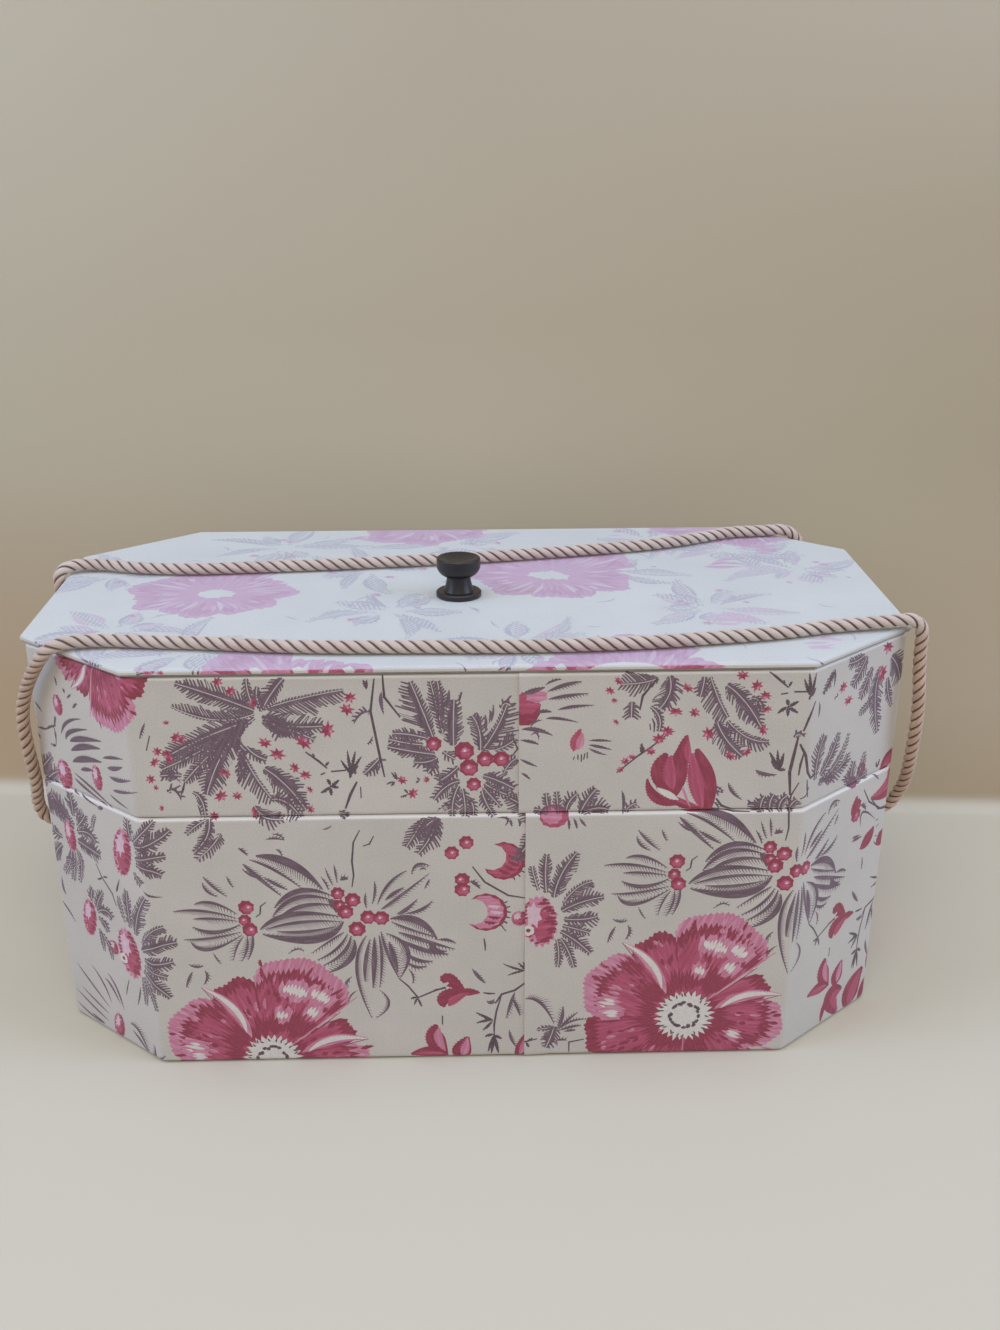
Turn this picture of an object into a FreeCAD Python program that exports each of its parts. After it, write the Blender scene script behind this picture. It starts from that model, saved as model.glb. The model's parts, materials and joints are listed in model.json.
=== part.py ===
import FreeCAD, Part
import math
import os

V = FreeCAD.Vector

# Two-tier board box with eight sides, covered in printed cotton: a base, a tray that stands
# on it and a lift-off lid with a turned knob, tied over with two twisted cords.
# Origin: centre of the underside. +X runs along the box, +Y towards the back, +Z up.

# Plan of the lid: a rectangle with its four corners cut off
lid_length = 400.0
lid_depth = 217.0
corner_cut_along = 53.4
corner_cut_across = 47.0

# Heights of the tiers, and the gap between one tier and the next
base_height = 127.3
tray_height = 66.0
tier_gap = 0.3

# The covered sides stand in from the lid's edge, and lean in a little more towards the floor
lid_overhang = 1.5
side_lean = 4.0

# Boards, cloth and paper
wall_board = 3.0
bottom_board = 3.0
cover_cloth = 0.7
lining_cloth = 0.5
underside_paper = 0.5
paper_margin = 3.0
base_turn_under = 14.0
tray_turn_under = 4.6
lining_reveal = 1.0

# Overlap of the cover's two ends, on the front, to the right of the middle
overlap_width = 12.0
overlap_thickness = 0.4
tray_overlap_edge = 20.5
base_overlap_edge = 23.5

# Boards that hold each tier in place on the one below
locating_board = 3.2
locating_clearance = 1.0

# Lid
lid_lining = 0.6
lid_lining_inset = 1.6
lid_board = 2.6
lid_cloth = 0.6

# Tray dividers
divider_board = 2.4
divider_height = 44.0
divider_clearance = 0.3
long_divider_share = -0.16
cross_divider_share = 0.32

# Turned knob and its screw
knob_place = (-4.5, -12.0)
knob_foot_radius = 10.8
knob_foot_height = 2.8
knob_foot_round = 0.6
knob_neck_foot_radius = 7.2
knob_neck_radius = 5.6
knob_neck_height = 10.0
knob_head_radius = 10.4
knob_bowl_radius = 9.5
knob_bowl_height = 12.4
knob_drum_height = 14.6
knob_height = 19.1
knob_rim_round = 0.7
knob_rim_width = 0.9
knob_dish_depth = 1.5
screw_radius = 1.9
screw_grip = 11.0
screw_hole_clearance = 0.35
screw_head_radius = 4.0
screw_head_height = 2.2
screw_slot_width = 0.9
screw_slot_depth = 1.0
washer_radius = 7.0
washer_thickness = 0.9

# Twisted cords and the knots that hold them inside the end walls
cord_diameter = 6.2
cord_hole_from_corner = 13.5
cord_hole_height = 100.0
cord_hole_clearance = 1.1
cord_entry_height = 99.6
cord_knot_face = 191.9
cord_arc_share = 0.45
knot_radius = 7.6
knot_length = 13.0
knot_round_share = 0.3
knot_tail_length = 13.0
knot_tail_drop = 9.0

# Routes of the cords, knot to knot, chosen by hand where they lie
front_cord_route = [
    (-191.9, -48, 99.6), (-200.8, -48, 99.6), (-204.6, -49.5, 108), (-201.4, -57.5, 124),
    (-201.7, -63, 142), (-202.0, -66, 160), (-197.6, -70.3, 175), (-189, -78.6, 190),
    (-179.3, -86.2, 202), (-161, -80, 201.3), (-141, -82.6, 201.1), (-117, -85.2, 201.3),
    (-91, -89.4, 201.1), (-62, -92.8, 201.3), (-24, -93.3, 201.2), (12, -94.5, 201.1),
    (42, -94.1, 201.3), (74, -91.6, 201.1), (104, -87, 201.3), (135, -81.2, 201.1),
    (162, -72.5, 201.3), (184, -69.6, 201.7), (203.7, -66.6, 202.4), (203.7, -64.8, 183),
    (205.0, -67.5, 161), (204.8, -65, 139), (206.0, -56.5, 119), (204.8, -49.5, 108),
    (200.8, -48, 99.6), (191.9, -48, 99.6),
]
back_cord_route = [
    (-191.9, 48, 99.6), (-200.8, 48, 99.6), (-204.6, 46.5, 108), (-202.2, 42, 126),
    (-202.8, 37.5, 147), (-202.6, 32, 168), (-203.8, 26, 187), (-204.6, 27, 201.8),
    (-190, 36, 201.7), (-165, 28, 201.2), (-137, 25.2, 201.1), (-107.5, 27.4, 201.3),
    (-76, 30.4, 201.1), (-37.4, 35, 201.3), (-5, 39.3, 201.1), (28, 45.3, 201.3),
    (62, 53, 201.1), (94.3, 60.2, 201.3), (120, 71.6, 201.1), (142, 84.6, 201.3),
    (158, 85.9, 201.2), (177.5, 89.6, 201.5), (184.8, 89.4, 185), (193, 81.4, 167),
    (200, 68.4, 147), (203, 56, 127), (204.8, 49.5, 108), (200.8, 48, 99.6), (191.9, 48, 99.6),
]

# Levels worked out from the heights
tray_foot = base_height + tier_gap
rim_top = tray_foot + tray_height
lid_foot = rim_top + tier_gap
lid_board_foot = lid_foot + lid_lining
lid_top = lid_board_foot + lid_board + lid_cloth
wall_depth = cover_cloth + wall_board
shell_depth = wall_depth + lining_cloth
locating_inset = shell_depth + locating_clearance
cord_hole_across = lid_depth / 2 - corner_cut_across - cord_hole_from_corner

side_names = ("front_wall", "front_right_wall", "right_end_wall", "back_right_wall",
              "back_wall", "back_left_wall", "left_end_wall", "front_left_wall")


def save(shape, node):
    shape.exportStep("parts/" + node + ".step")


def corners(inset, level):
    """The eight corners of the lid's plan, moved in all round, counted from the front left."""
    half_x = lid_length / 2 - inset
    half_y = lid_depth / 2 - inset
    slant = math.hypot(corner_cut_along, corner_cut_across)
    corner_reach = (corner_cut_across * lid_length / 2
                    + corner_cut_along * (lid_depth / 2 - corner_cut_across)) / slant - inset
    end_y = (corner_reach * slant - corner_cut_across * half_x) / corner_cut_along
    side_x = (corner_reach * slant - corner_cut_along * half_y) / corner_cut_across
    plan = [(-side_x, -half_y), (side_x, -half_y), (half_x, -end_y), (half_x, end_y),
            (side_x, half_y), (-side_x, half_y), (-half_x, end_y), (-half_x, -end_y)]
    return [V(x, y, level) for x, y in plan]


def side_inset(level):
    """How far the covered sides stand in from the lid's edge at a level."""
    return lid_overhang + side_lean * (rim_top - level) / rim_top


def between(low, high):
    """A solid with flat faces between two outlines that have as many corners."""
    faces = [Part.Face(Part.makePolygon(low + low[:1])), Part.Face(Part.makePolygon(high + high[:1]))]
    for i in range(len(low)):
        j = (i + 1) % len(low)
        faces.append(Part.Face(Part.makePolygon([low[i], low[j], high[j], high[i], low[i]])))
    solid = Part.makeSolid(Part.makeShell(faces))
    if solid.Volume < 0:
        solid.reverse()
    return solid


def block(inset, foot, top):
    """An eight-sided block that follows the leaning sides, at a depth inside them."""
    return between(corners(side_inset(foot) + inset, foot), corners(side_inset(top) + inset, top))


def slab(inset, foot, top):
    """An eight-sided slab with upright edges, its inset counted from the lid's edge."""
    return between(corners(inset, foot), corners(inset, top))


def wall_panels(tier, foot, top, holes):
    """The eight wall boards of a tier, mitred where they meet, each its own piece."""
    outer_low = corners(side_inset(foot) + cover_cloth, foot)
    inner_low = corners(side_inset(foot) + wall_depth, foot)
    outer_high = corners(side_inset(top) + cover_cloth, top)
    inner_high = corners(side_inset(top) + wall_depth, top)
    for i, name in enumerate(side_names):
        j = (i + 1) % len(side_names)
        low = [outer_low[i], outer_low[j], inner_low[j], inner_low[i]]
        high = [outer_high[i], outer_high[j], inner_high[j], inner_high[i]]
        panel = between(low, high)
        if name in ("left_end_wall", "right_end_wall") and holes:
            panel = panel.cut(holes)
        save(panel, tier + "_" + name)


def cloth_cover(foot, top, turn_under, overlap_edge):
    """Cloth round a tier: turned over the rim on top, turned under the bottom below,
    with one end lapped over the other on the front."""
    cover = block(0, foot, top)
    cover = cover.cut(block(cover_cloth, foot + cover_cloth, top - cover_cloth))
    cover = cover.cut(block(turn_under, foot - cover_cloth, foot + 2 * cover_cloth))
    cover = cover.cut(block(wall_depth, top - 2 * cover_cloth, top + cover_cloth))
    strips = []
    for level in (foot, top - cover_cloth):
        face_y = corners(side_inset(level), level)[0].y
        strips.append([V(overlap_edge, face_y - overlap_thickness, level),
                       V(overlap_edge + overlap_width, face_y - overlap_thickness, level),
                       V(overlap_edge + overlap_width, face_y + cover_cloth / 2, level),
                       V(overlap_edge, face_y + cover_cloth / 2, level)])
    return cover.fuse(between(strips[0], strips[1])).removeSplitter()


def lining_ring(foot, top):
    """Cloth pasted round the inside of a tier's walls."""
    return block(wall_depth, foot, top).cut(block(shell_depth, foot - wall_board, top + wall_board))


def cord_holes():
    """Four holes through the end walls, two at each end, for the cords."""
    radius = cord_diameter / 2 + cord_hole_clearance
    holes = [Part.makeCylinder(radius, lid_length, V(-lid_length / 2, y, cord_hole_height), V(1, 0, 0))
             for y in (-cord_hole_across, cord_hole_across)]
    return holes[0].fuse(holes[1])


def build_base():
    holes = cord_holes()
    cover_foot = underside_paper
    board_foot = cover_foot + cover_cloth
    wall_foot = board_foot + bottom_board
    save(slab(side_inset(0) + paper_margin, 0, underside_paper), "base_underside_paper")
    cover = cloth_cover(cover_foot, base_height, base_turn_under, base_overlap_edge)
    save(cover.cut(holes), "base_printed_cover")
    save(block(cover_cloth, board_foot, wall_foot), "base_bottom_board")
    wall_panels("base", wall_foot, base_height - cover_cloth, holes)
    lining = lining_ring(wall_foot, base_height - lining_reveal)
    save(lining.cut(holes), "base_wall_lining")
    save(block(shell_depth, wall_foot, wall_foot + lining_cloth), "base_floor_lining")


def build_tray():
    board_foot = tray_foot + cover_cloth
    wall_foot = board_foot + bottom_board
    floor_top = wall_foot + lining_cloth
    cover = cloth_cover(tray_foot, rim_top, tray_turn_under, tray_overlap_edge)
    save(cover, "tray_printed_cover")
    save(block(cover_cloth, board_foot, wall_foot), "tray_bottom_board")
    locating_foot = board_foot - locating_board
    inset = side_inset(locating_foot) + locating_inset
    save(slab(inset, locating_foot, board_foot), "tray_locating_board")
    wall_panels("tray", wall_foot, rim_top - cover_cloth, None)
    save(lining_ring(wall_foot, rim_top - lining_reveal), "tray_wall_lining")
    save(block(shell_depth, wall_foot, floor_top), "tray_floor_lining")
    build_dividers(floor_top)


def build_dividers(floor_top):
    """One board along the tray and two across behind it, each as long as the room it has."""
    inside = corners(side_inset(floor_top) + shell_depth + divider_clearance, floor_top)
    middle_y = long_divider_share * lid_depth / 2
    long_half = inside[2].x
    long_divider = Part.makeBox(2 * long_half, divider_board, divider_height,
                                V(-long_half, middle_y - divider_board / 2, floor_top))
    save(long_divider, "tray_long_divider")
    cross_foot = middle_y + divider_board / 2
    for name, side in (("left", -1), ("right", 1)):
        middle_x = side * cross_divider_share * lid_length / 2
        cross_divider = Part.makeBox(divider_board, inside[4].y - cross_foot, divider_height,
                                     V(middle_x - divider_board / 2, cross_foot, floor_top))
        save(cross_divider, "tray_" + name + "_cross_divider")


def knob_profile():
    """Half section of the knob before its top is dished: foot disc, flared neck, bowl and drum."""
    arc = Part.Arc
    line = Part.LineSegment
    foot = knob_foot_radius
    edge = knob_foot_round
    corner_share = 1 - math.sqrt(0.5)
    points = [V(0, 0, 0), V(foot - edge, 0, 0), V(foot, 0, edge),
              V(foot, 0, knob_foot_height - edge), V(foot - edge, 0, knob_foot_height),
              V(knob_neck_foot_radius, 0, knob_foot_height), V(knob_neck_radius, 0, knob_neck_height),
              V(knob_head_radius, 0, knob_drum_height),
              V(knob_head_radius, 0, knob_height - knob_rim_round),
              V(knob_head_radius - knob_rim_round, 0, knob_height), V(0, 0, knob_height)]
    neck_mid = V((knob_neck_foot_radius + 2 * knob_neck_radius) / 3, 0,
                 (knob_foot_height + knob_neck_height) / 2)
    bowl_mid = V(knob_bowl_radius, 0, knob_bowl_height)
    rim_mid = V(knob_head_radius - knob_rim_round * corner_share, 0,
                knob_height - knob_rim_round * corner_share)
    edges = [line(points[0], points[1]), line(points[1], points[2]), line(points[2], points[3]),
             line(points[3], points[4]), line(points[4], points[5]),
             arc(points[5], neck_mid, points[6]), arc(points[6], bowl_mid, points[7]),
             line(points[7], points[8]), arc(points[8], rim_mid, points[9]),
             line(points[9], points[10]), line(points[10], points[0])]
    return Part.Face(Part.Wire([outline.toShape() for outline in edges]))


def build_lid():
    x, y = knob_place
    locating_foot = lid_foot - locating_board
    hole = Part.makeCylinder(screw_radius + screw_hole_clearance, lid_top - locating_foot,
                             V(x, y, locating_foot))
    cover = slab(0, lid_board_foot, lid_top).cut(
        slab(lid_cloth, lid_board_foot - lid_cloth, lid_top - lid_cloth))
    save(cover.cut(hole), "lid_printed_cover")
    save(slab(lid_cloth, lid_board_foot, lid_board_foot + lid_board).cut(hole), "lid_board")
    save(slab(lid_overhang + lid_lining_inset, lid_foot, lid_board_foot).cut(hole), "lid_lining")
    locating = slab(lid_overhang + locating_inset, locating_foot, lid_foot)
    save(locating.cut(hole), "lid_locating_board")
    build_knob(x, y, locating_foot)


def build_knob(x, y, locating_foot):
    axis = V(0, 0, 1)
    knob = knob_profile().revolve(V(0, 0, 0), axis, 360)
    dish_radius = knob_head_radius - knob_rim_round - knob_rim_width
    ball_radius = (dish_radius ** 2 + knob_dish_depth ** 2) / (2 * knob_dish_depth)
    knob = knob.cut(Part.makeSphere(ball_radius, V(0, 0, knob_height - knob_dish_depth + ball_radius)))
    knob.translate(V(x, y, lid_top))
    bore = Part.makeCylinder(screw_radius, screw_grip, V(x, y, lid_top))
    save(knob.cut(bore), "knob")
    washer_foot = locating_foot - washer_thickness
    washer = Part.makeCylinder(washer_radius, washer_thickness, V(x, y, washer_foot))
    washer_hole = Part.makeCylinder(screw_radius + screw_hole_clearance, washer_thickness,
                                    V(x, y, washer_foot))
    save(washer.cut(washer_hole), "knob_washer")
    head_foot = washer_foot - screw_head_height
    head = Part.makeCylinder(screw_head_radius, screw_head_height, V(x, y, head_foot))
    shank = Part.makeCylinder(screw_radius, lid_top + screw_grip - washer_foot, V(x, y, washer_foot))
    slot = Part.makeBox(2 * screw_head_radius, screw_slot_width, screw_slot_depth,
                        V(x - screw_head_radius, y - screw_slot_width / 2, head_foot))
    save(head.fuse(shank).cut(slot).removeSplitter(), "knob_screw")


def tube(route, name):
    """A round cord along straight runs joined by arcs as large as the runs allow."""
    points = [V(*place) for place in route]
    edges = []
    radii = []
    start = points[0]
    for before, here, after in zip(points, points[1:], points[2:]):
        towards = here - before
        onwards = after - here
        turn = towards.getAngle(onwards)
        reach = cord_arc_share * min(towards.Length, onwards.Length)
        radius = reach / math.tan(turn / 2)
        towards.normalize()
        onwards.normalize()
        arc_start = here - towards * reach
        arc_end = here + onwards * reach
        inward = onwards - towards
        inward.normalize()
        arc_mid = here + inward * (math.hypot(radius, reach) - radius)
        edges.append(Part.LineSegment(start, arc_start).toShape())
        edges.append(Part.Arc(arc_start, arc_mid, arc_end).toShape())
        radii.append(round(radius, 1))
        start = arc_end
    edges.append(Part.LineSegment(start, points[-1]).toShape())
    path = Part.Wire(edges)
    section = Part.Wire(Part.Circle(points[0], points[1] - points[0], cord_diameter / 2).toShape())
    solid = path.makePipeShell([section], True, False)
    area = math.pi * cord_diameter ** 2 / 4
    print(name, "length", round(path.Length, 1), "volume over section times length",
          round(solid.Volume / (area * path.Length), 4), "arc radii", radii)
    return solid


def knot(end_side, across_side):
    """An overhand knot as a rounded barrel against the wall, with its short loose tail."""
    axis = V(-end_side, 0, 0)
    face = V(end_side * cord_knot_face, across_side * cord_hole_across, cord_entry_height)
    barrel = Part.makeCylinder(knot_radius, knot_length, face, axis)
    far_rim = [edge for edge in barrel.Edges
               if abs(edge.CenterOfMass.x - face.x - axis.x * knot_length) < knot_length / 4
               and len(edge.Vertexes) == 1]
    barrel = barrel.makeFillet(knot_radius * knot_round_share, far_rim)
    tail_start = face + axis * (knot_length / 2)
    tail_way = V(axis.x * knot_tail_length, 0, -knot_tail_drop)
    tail = Part.makeCylinder(cord_diameter / 2, knot_length / 2 + knot_tail_length, tail_start, tail_way)
    return barrel.fuse(tail).removeSplitter()


def build_cords():
    save(tube(front_cord_route, "front_cord"), "front_cord")
    save(tube(back_cord_route, "back_cord"), "back_cord")
    for cord_name, across_side in (("front", -1), ("back", 1)):
        for end_name, end_side in (("left", -1), ("right", 1)):
            save(knot(end_side, across_side), cord_name + "_cord_" + end_name + "_knot")


os.makedirs("parts", exist_ok=True)
build_base()
build_tray()
build_lid()
build_cords()
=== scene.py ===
import cmath
import json
import math
import random

import bpy
import numpy as np
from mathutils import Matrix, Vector
from mathutils.geometry import delaunay_2d_cdt


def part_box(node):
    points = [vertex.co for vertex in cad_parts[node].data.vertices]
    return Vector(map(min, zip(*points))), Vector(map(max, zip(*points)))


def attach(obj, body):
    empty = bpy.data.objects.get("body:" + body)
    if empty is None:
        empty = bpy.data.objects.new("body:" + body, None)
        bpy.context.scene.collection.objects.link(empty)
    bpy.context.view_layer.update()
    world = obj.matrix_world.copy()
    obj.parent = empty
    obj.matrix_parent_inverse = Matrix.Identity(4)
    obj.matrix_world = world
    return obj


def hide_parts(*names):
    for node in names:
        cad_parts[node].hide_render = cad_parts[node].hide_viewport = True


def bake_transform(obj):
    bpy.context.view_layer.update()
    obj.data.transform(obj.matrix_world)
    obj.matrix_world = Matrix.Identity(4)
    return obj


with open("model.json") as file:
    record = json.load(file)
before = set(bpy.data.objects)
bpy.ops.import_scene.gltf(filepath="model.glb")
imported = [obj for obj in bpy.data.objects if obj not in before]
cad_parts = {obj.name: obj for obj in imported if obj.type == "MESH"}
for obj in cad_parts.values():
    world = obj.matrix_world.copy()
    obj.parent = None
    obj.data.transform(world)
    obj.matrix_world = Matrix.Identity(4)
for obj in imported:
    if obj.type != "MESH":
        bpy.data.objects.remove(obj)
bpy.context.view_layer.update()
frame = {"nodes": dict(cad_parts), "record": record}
MM = 0.001

# Camera, at the photograph's viewing angle
camera_place = (-4.345, -697.055, 417.513)
camera_turn = (69.548, 0.117, -1.673)
picture_height = 1330.0
focal_pixels = 1500.0
sensor = 36.0


def make_camera():
    data = bpy.data.cameras.new("camera")
    data.sensor_width = sensor
    data.lens = sensor * focal_pixels / picture_height
    camera = bpy.data.objects.new("camera", data)
    camera.location = [value * MM for value in camera_place]
    camera.rotation_euler = [math.radians(value) for value in camera_turn]
    bpy.context.scene.collection.objects.link(camera)
    bpy.context.scene.camera = camera
    bpy.context.view_layer.update()


make_camera()


def link(name, data):
    piece = bpy.data.objects.new(name, data)
    bpy.context.scene.collection.objects.link(piece)
    return piece


def mesh_piece(name, points, faces, materials, inks=None, uvs=None, normals=None):
    """A mesh object at the origin from points in millimetres, its UV maps given corner by corner."""
    data = bpy.data.meshes.new(name)
    sizes = [len(face) for face in faces]
    data.vertices.add(len(points))
    data.vertices.foreach_set("co", np.asarray(points, dtype=np.float32).ravel() * MM)
    data.loops.add(sum(sizes))
    data.loops.foreach_set("vertex_index", np.fromiter((i for face in faces for i in face), np.int32))
    data.polygons.add(len(faces))
    data.polygons.foreach_set("loop_start", np.cumsum([0] + sizes[:-1]))
    for material in materials:
        data.materials.append(material)
    if inks is not None:
        data.polygons.foreach_set("material_index", inks)
    for label, values in (uvs or {}).items():
        layer = data.uv_layers.new(name=label)
        layer.data.foreach_set("uv", np.asarray(values, dtype=np.float32).ravel())
    data.update(calc_edges=True)
    data.polygons.foreach_set("use_smooth", [True] * len(faces))
    if normals is not None:
        data.normals_split_custom_set(np.asarray(normals, dtype=np.float32))
    return link(name, data)


# Materials: one function adds a node, one sets its inputs, and the others build each finish of the box

def linear(hex_colour):
    values = [int(hex_colour[i:i + 2], 16) / 255 for i in (0, 2, 4)]
    return [v / 12.92 if v <= 0.04045 else ((v + 0.055) / 1.055) ** 2.4 for v in values] + [1.0]


def wire(tree, made, **links):
    """Sets a node's inputs, named, or numbered as in i0, to values, sockets or nodes' first outputs."""
    for name, value in links.items():
        key = int(name[1:]) if name[0] == "i" and name[1:].isdigit() else name.replace("_", " ")
        if isinstance(value, bpy.types.Node):
            value = value.outputs[0]
        if isinstance(value, bpy.types.NodeSocket):
            tree.links.new(value, made.inputs[key])
        else:
            made.inputs[key].default_value = value


def node(tree, kind, settings=None, stops=(), **links):
    """Adds a node with its settings and links. Stops are the places and colours of a colour ramp."""
    made = tree.nodes.new("ShaderNode" + kind)
    for name, value in (settings or {}).items():
        setattr(made, name, value)
    if stops:
        elements = made.color_ramp.elements
        while len(elements) < len(stops):
            elements.new(0.5)
        for element, (place, colour) in zip(elements, stops):
            element.position = place
            element.color = linear(colour)
    wire(tree, made, **links)
    return made


def new_material(name):
    material = bpy.data.materials.new(name)
    material.use_nodes = True
    tree = material.node_tree
    return material, tree, tree.nodes["Principled BSDF"]


def cloth_point(tree, along=1.0, up=1.0, label="cloth"):
    """A place on a piece's UV map, counted in spots that measure along by up in millimetres."""
    coordinates = node(tree, "UVMap", {"uv_map": label})
    return node(tree, "Mapping", i0=coordinates, Scale=(1 / along, 1 / up, 1))


def solid_point(tree, across, up):
    """A place inside a solid, counted in spots that measure across by up in millimetres."""
    coordinates = node(tree, "TexCoord").outputs["Object"]
    scale = (1 / (across * MM), 1 / (across * MM), 1 / (up * MM))
    return node(tree, "Mapping", i0=coordinates, Scale=scale)


# Settings of mixes, sums and waves, and the distance from wave to wave at a scale of 1
colours = {"data_type": "RGBA"}
times, times_plus = {"operation": "MULTIPLY"}, {"operation": "MULTIPLY_ADD"}
x_waves, y_waves, slanting_waves = (
    {"wave_type": "BANDS", "bands_direction": way, "wave_profile": "SIN"} for way in ("X", "Y", "DIAGONAL"))
wave_step = math.pi / 10
slanting_step = math.pi / 5 / math.sqrt(2)

# Printed cotton, in millimetres: its threads are a little coarser than real ones, so that they show
thread = 0.456
weave_depth = 0.05
slub_length = 9.26
slub_width = 0.794
handling_patch = 55.6
fleck = 0.77
rub_grain = 0.455
tone_patch = 2.0
hatch_spacing = 2.08
hatch_break = 2.86


def finish_cloth(tree, surface, colour):
    """Plain-woven cotton pasted flat on board: matt, slightly sized, crossing threads just raised."""
    crossed = [node(tree, "TexWave", waves, Vector=cloth_point(tree), Scale=wave_step / thread,
                    Distortion=0.6, Detail=1.0, Detail_Scale=0.4).outputs[1] for waves in (x_waves, y_waves)]
    weave = node(tree, "Math", {"operation": "ADD"}, i0=crossed[0], i1=crossed[1])
    slub = node(tree, "TexNoise", Vector=cloth_point(tree, slub_length, slub_width), Scale=1.0, Detail=2.0,
                Roughness=0.55)
    height = node(tree, "Math", times_plus, i0=slub, i1=1.2, i2=weave)
    bump = node(tree, "Bump", Strength=0.35, Distance=weave_depth * MM, Height=height)
    wire(tree, surface, Base_Color=colour, Roughness=0.62, Sheen_Weight=0.12, Sheen_Roughness=0.45,
         Normal=bump)


def ground_material(name, warm, cool, fold=None):
    """Undyed ground of the print, mottled by size and handling, with a painted highlight that makes it paler
    where it faces up, over the tops of its folds.
    """
    material, tree, surface = new_material(name)
    patches = node(tree, "TexNoise", Vector=cloth_point(tree, handling_patch, handling_patch), Scale=1.0,
                   Detail=4.0, Roughness=0.6)
    flecks = node(tree, "TexNoise", Vector=cloth_point(tree, fleck, fleck), Scale=1.0, Detail=2.0,
                  Roughness=0.7)
    patched = node(tree, "ValToRGB", stops=((0.3, warm), (0.7, cool)), i0=patches)
    flecked = node(tree, "ValToRGB", stops=((0.42, "8d8272"), (0.58, "ffffff")), i0=flecks)
    colour = node(tree, "Mix", colours, i0=0.06, i6=patched, i7=flecked).outputs[2]
    if fold:
        # Painted highlight: where the normal faces up the ground turns towards the fold colour, standing in
        # for light from above on the rounded folds
        normal = node(tree, "NewGeometry").outputs["Normal"]
        upward = node(tree, "SeparateXYZ", i0=normal).outputs[2]
        wear_and_highlight = node(tree, "ValToRGB", stops=((0.12, "000000"), (0.5, "d2d2d2")), i0=upward)
        colour = node(tree, "Mix", colours, i0=wear_and_highlight, i6=colour, i7=linear(fold)).outputs[2]
    finish_cloth(tree, surface, colour)
    return material


def ink_material(name, stops, streak, low, rub):
    """Printed ink: tones streaked along the motif, rubbed through to a paler one here and there."""
    material, tree, surface = new_material(name)
    streaks = node(tree, "TexNoise", Vector=cloth_point(tree, *streak, "ink"), Scale=1.0, Detail=4.0,
                   Roughness=0.62)
    grain = node(tree, "TexNoise", Vector=cloth_point(tree, rub_grain, rub_grain), Scale=1.0, Detail=2.0,
                 Roughness=0.8)
    inked = node(tree, "ValToRGB", stops=stops, i0=streaks)
    wear_and_highlight = node(tree, "ValToRGB", stops=((0.50, "000000"), (0.78, "ffffff")), i0=grain)
    rubbed = node(tree, "Math", times, i0=wear_and_highlight, i1=rub)
    colour = node(tree, "Mix", colours, i0=rubbed, i6=inked, i7=linear(low)).outputs[2]
    finish_cloth(tree, surface, colour)
    return material


def hatched_material(name, dark, pale):
    """Engraved shading: fine slanting lines of ink over the ground, breaking up at the ends."""
    material, tree, surface = new_material(name)
    lines = node(tree, "TexWave", slanting_waves, Vector=cloth_point(tree, label="ink"),
                 Scale=slanting_step / hatch_spacing, Distortion=1.4, Detail=2.0, Detail_Scale=0.6).outputs[1]
    breaks = node(tree, "TexNoise", Vector=cloth_point(tree, hatch_break, hatch_break, "ink"), Scale=1.0,
                  Detail=3.0, Roughness=0.6)
    level = node(tree, "Math", times_plus, i0=breaks, i1=0.9, i2=lines)
    colour = node(tree, "ValToRGB", stops=((0.62, dark), (0.92, pale)), i0=level)
    finish_cloth(tree, surface, colour)
    return material


def flat_ink(name, first, second):
    """Ink laid evenly, its tone drifting a little."""
    material, tree, surface = new_material(name)
    tone = node(tree, "TexNoise", Vector=cloth_point(tree, tone_patch, tone_patch), Scale=1.0, Detail=3.0,
                Roughness=0.55)
    colour = node(tree, "ValToRGB", stops=((0.35, first), (0.65, second)), i0=tone)
    finish_cloth(tree, surface, colour)
    return material


INKS = ("ground", "rose", "rose_deep", "rose_light", "rose_pale", "plum", "plum_hatched", "twig", "white")

# Streaks of the inks along their motifs: length and width in millimetres, and the share rubbed off
rose_streak, rose_rub = (20.0, 1.82), 0.25
deep_streak, deep_rub = (9.26, 2.22), 0.15
light_streak, light_rub = (12.5, 1.67), 0.3
plum_streak, plum_rub = (9.09, 1.30), 0.35


def print_inks(tag, ground, rose, deep, light, pale, plum, hatch, twig, white):
    """The inks of one cloth, in the order of INKS, with the cloth's plain back last."""
    return [
        ground_material("cotton_ground_" + tag, *ground),
        ink_material("ink_rose_" + tag, rose, rose_streak, pale[0], rose_rub),
        ink_material("ink_rose_deep_" + tag, deep, deep_streak, pale[0], deep_rub),
        ink_material("ink_rose_light_" + tag, light, light_streak, pale[0], light_rub),
        flat_ink("ink_rose_pale_" + tag, *pale),
        ink_material("ink_plum_" + tag, plum, plum_streak, ground[0], plum_rub),
        hatched_material("ink_plum_hatched_" + tag, *hatch),
        flat_ink("ink_twig_" + tag, *twig),
        flat_ink("ink_white_" + tag, *white),
        ground_material("cotton_back_" + tag, "cfc3b2", "c4b7a4"),
    ]
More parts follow.
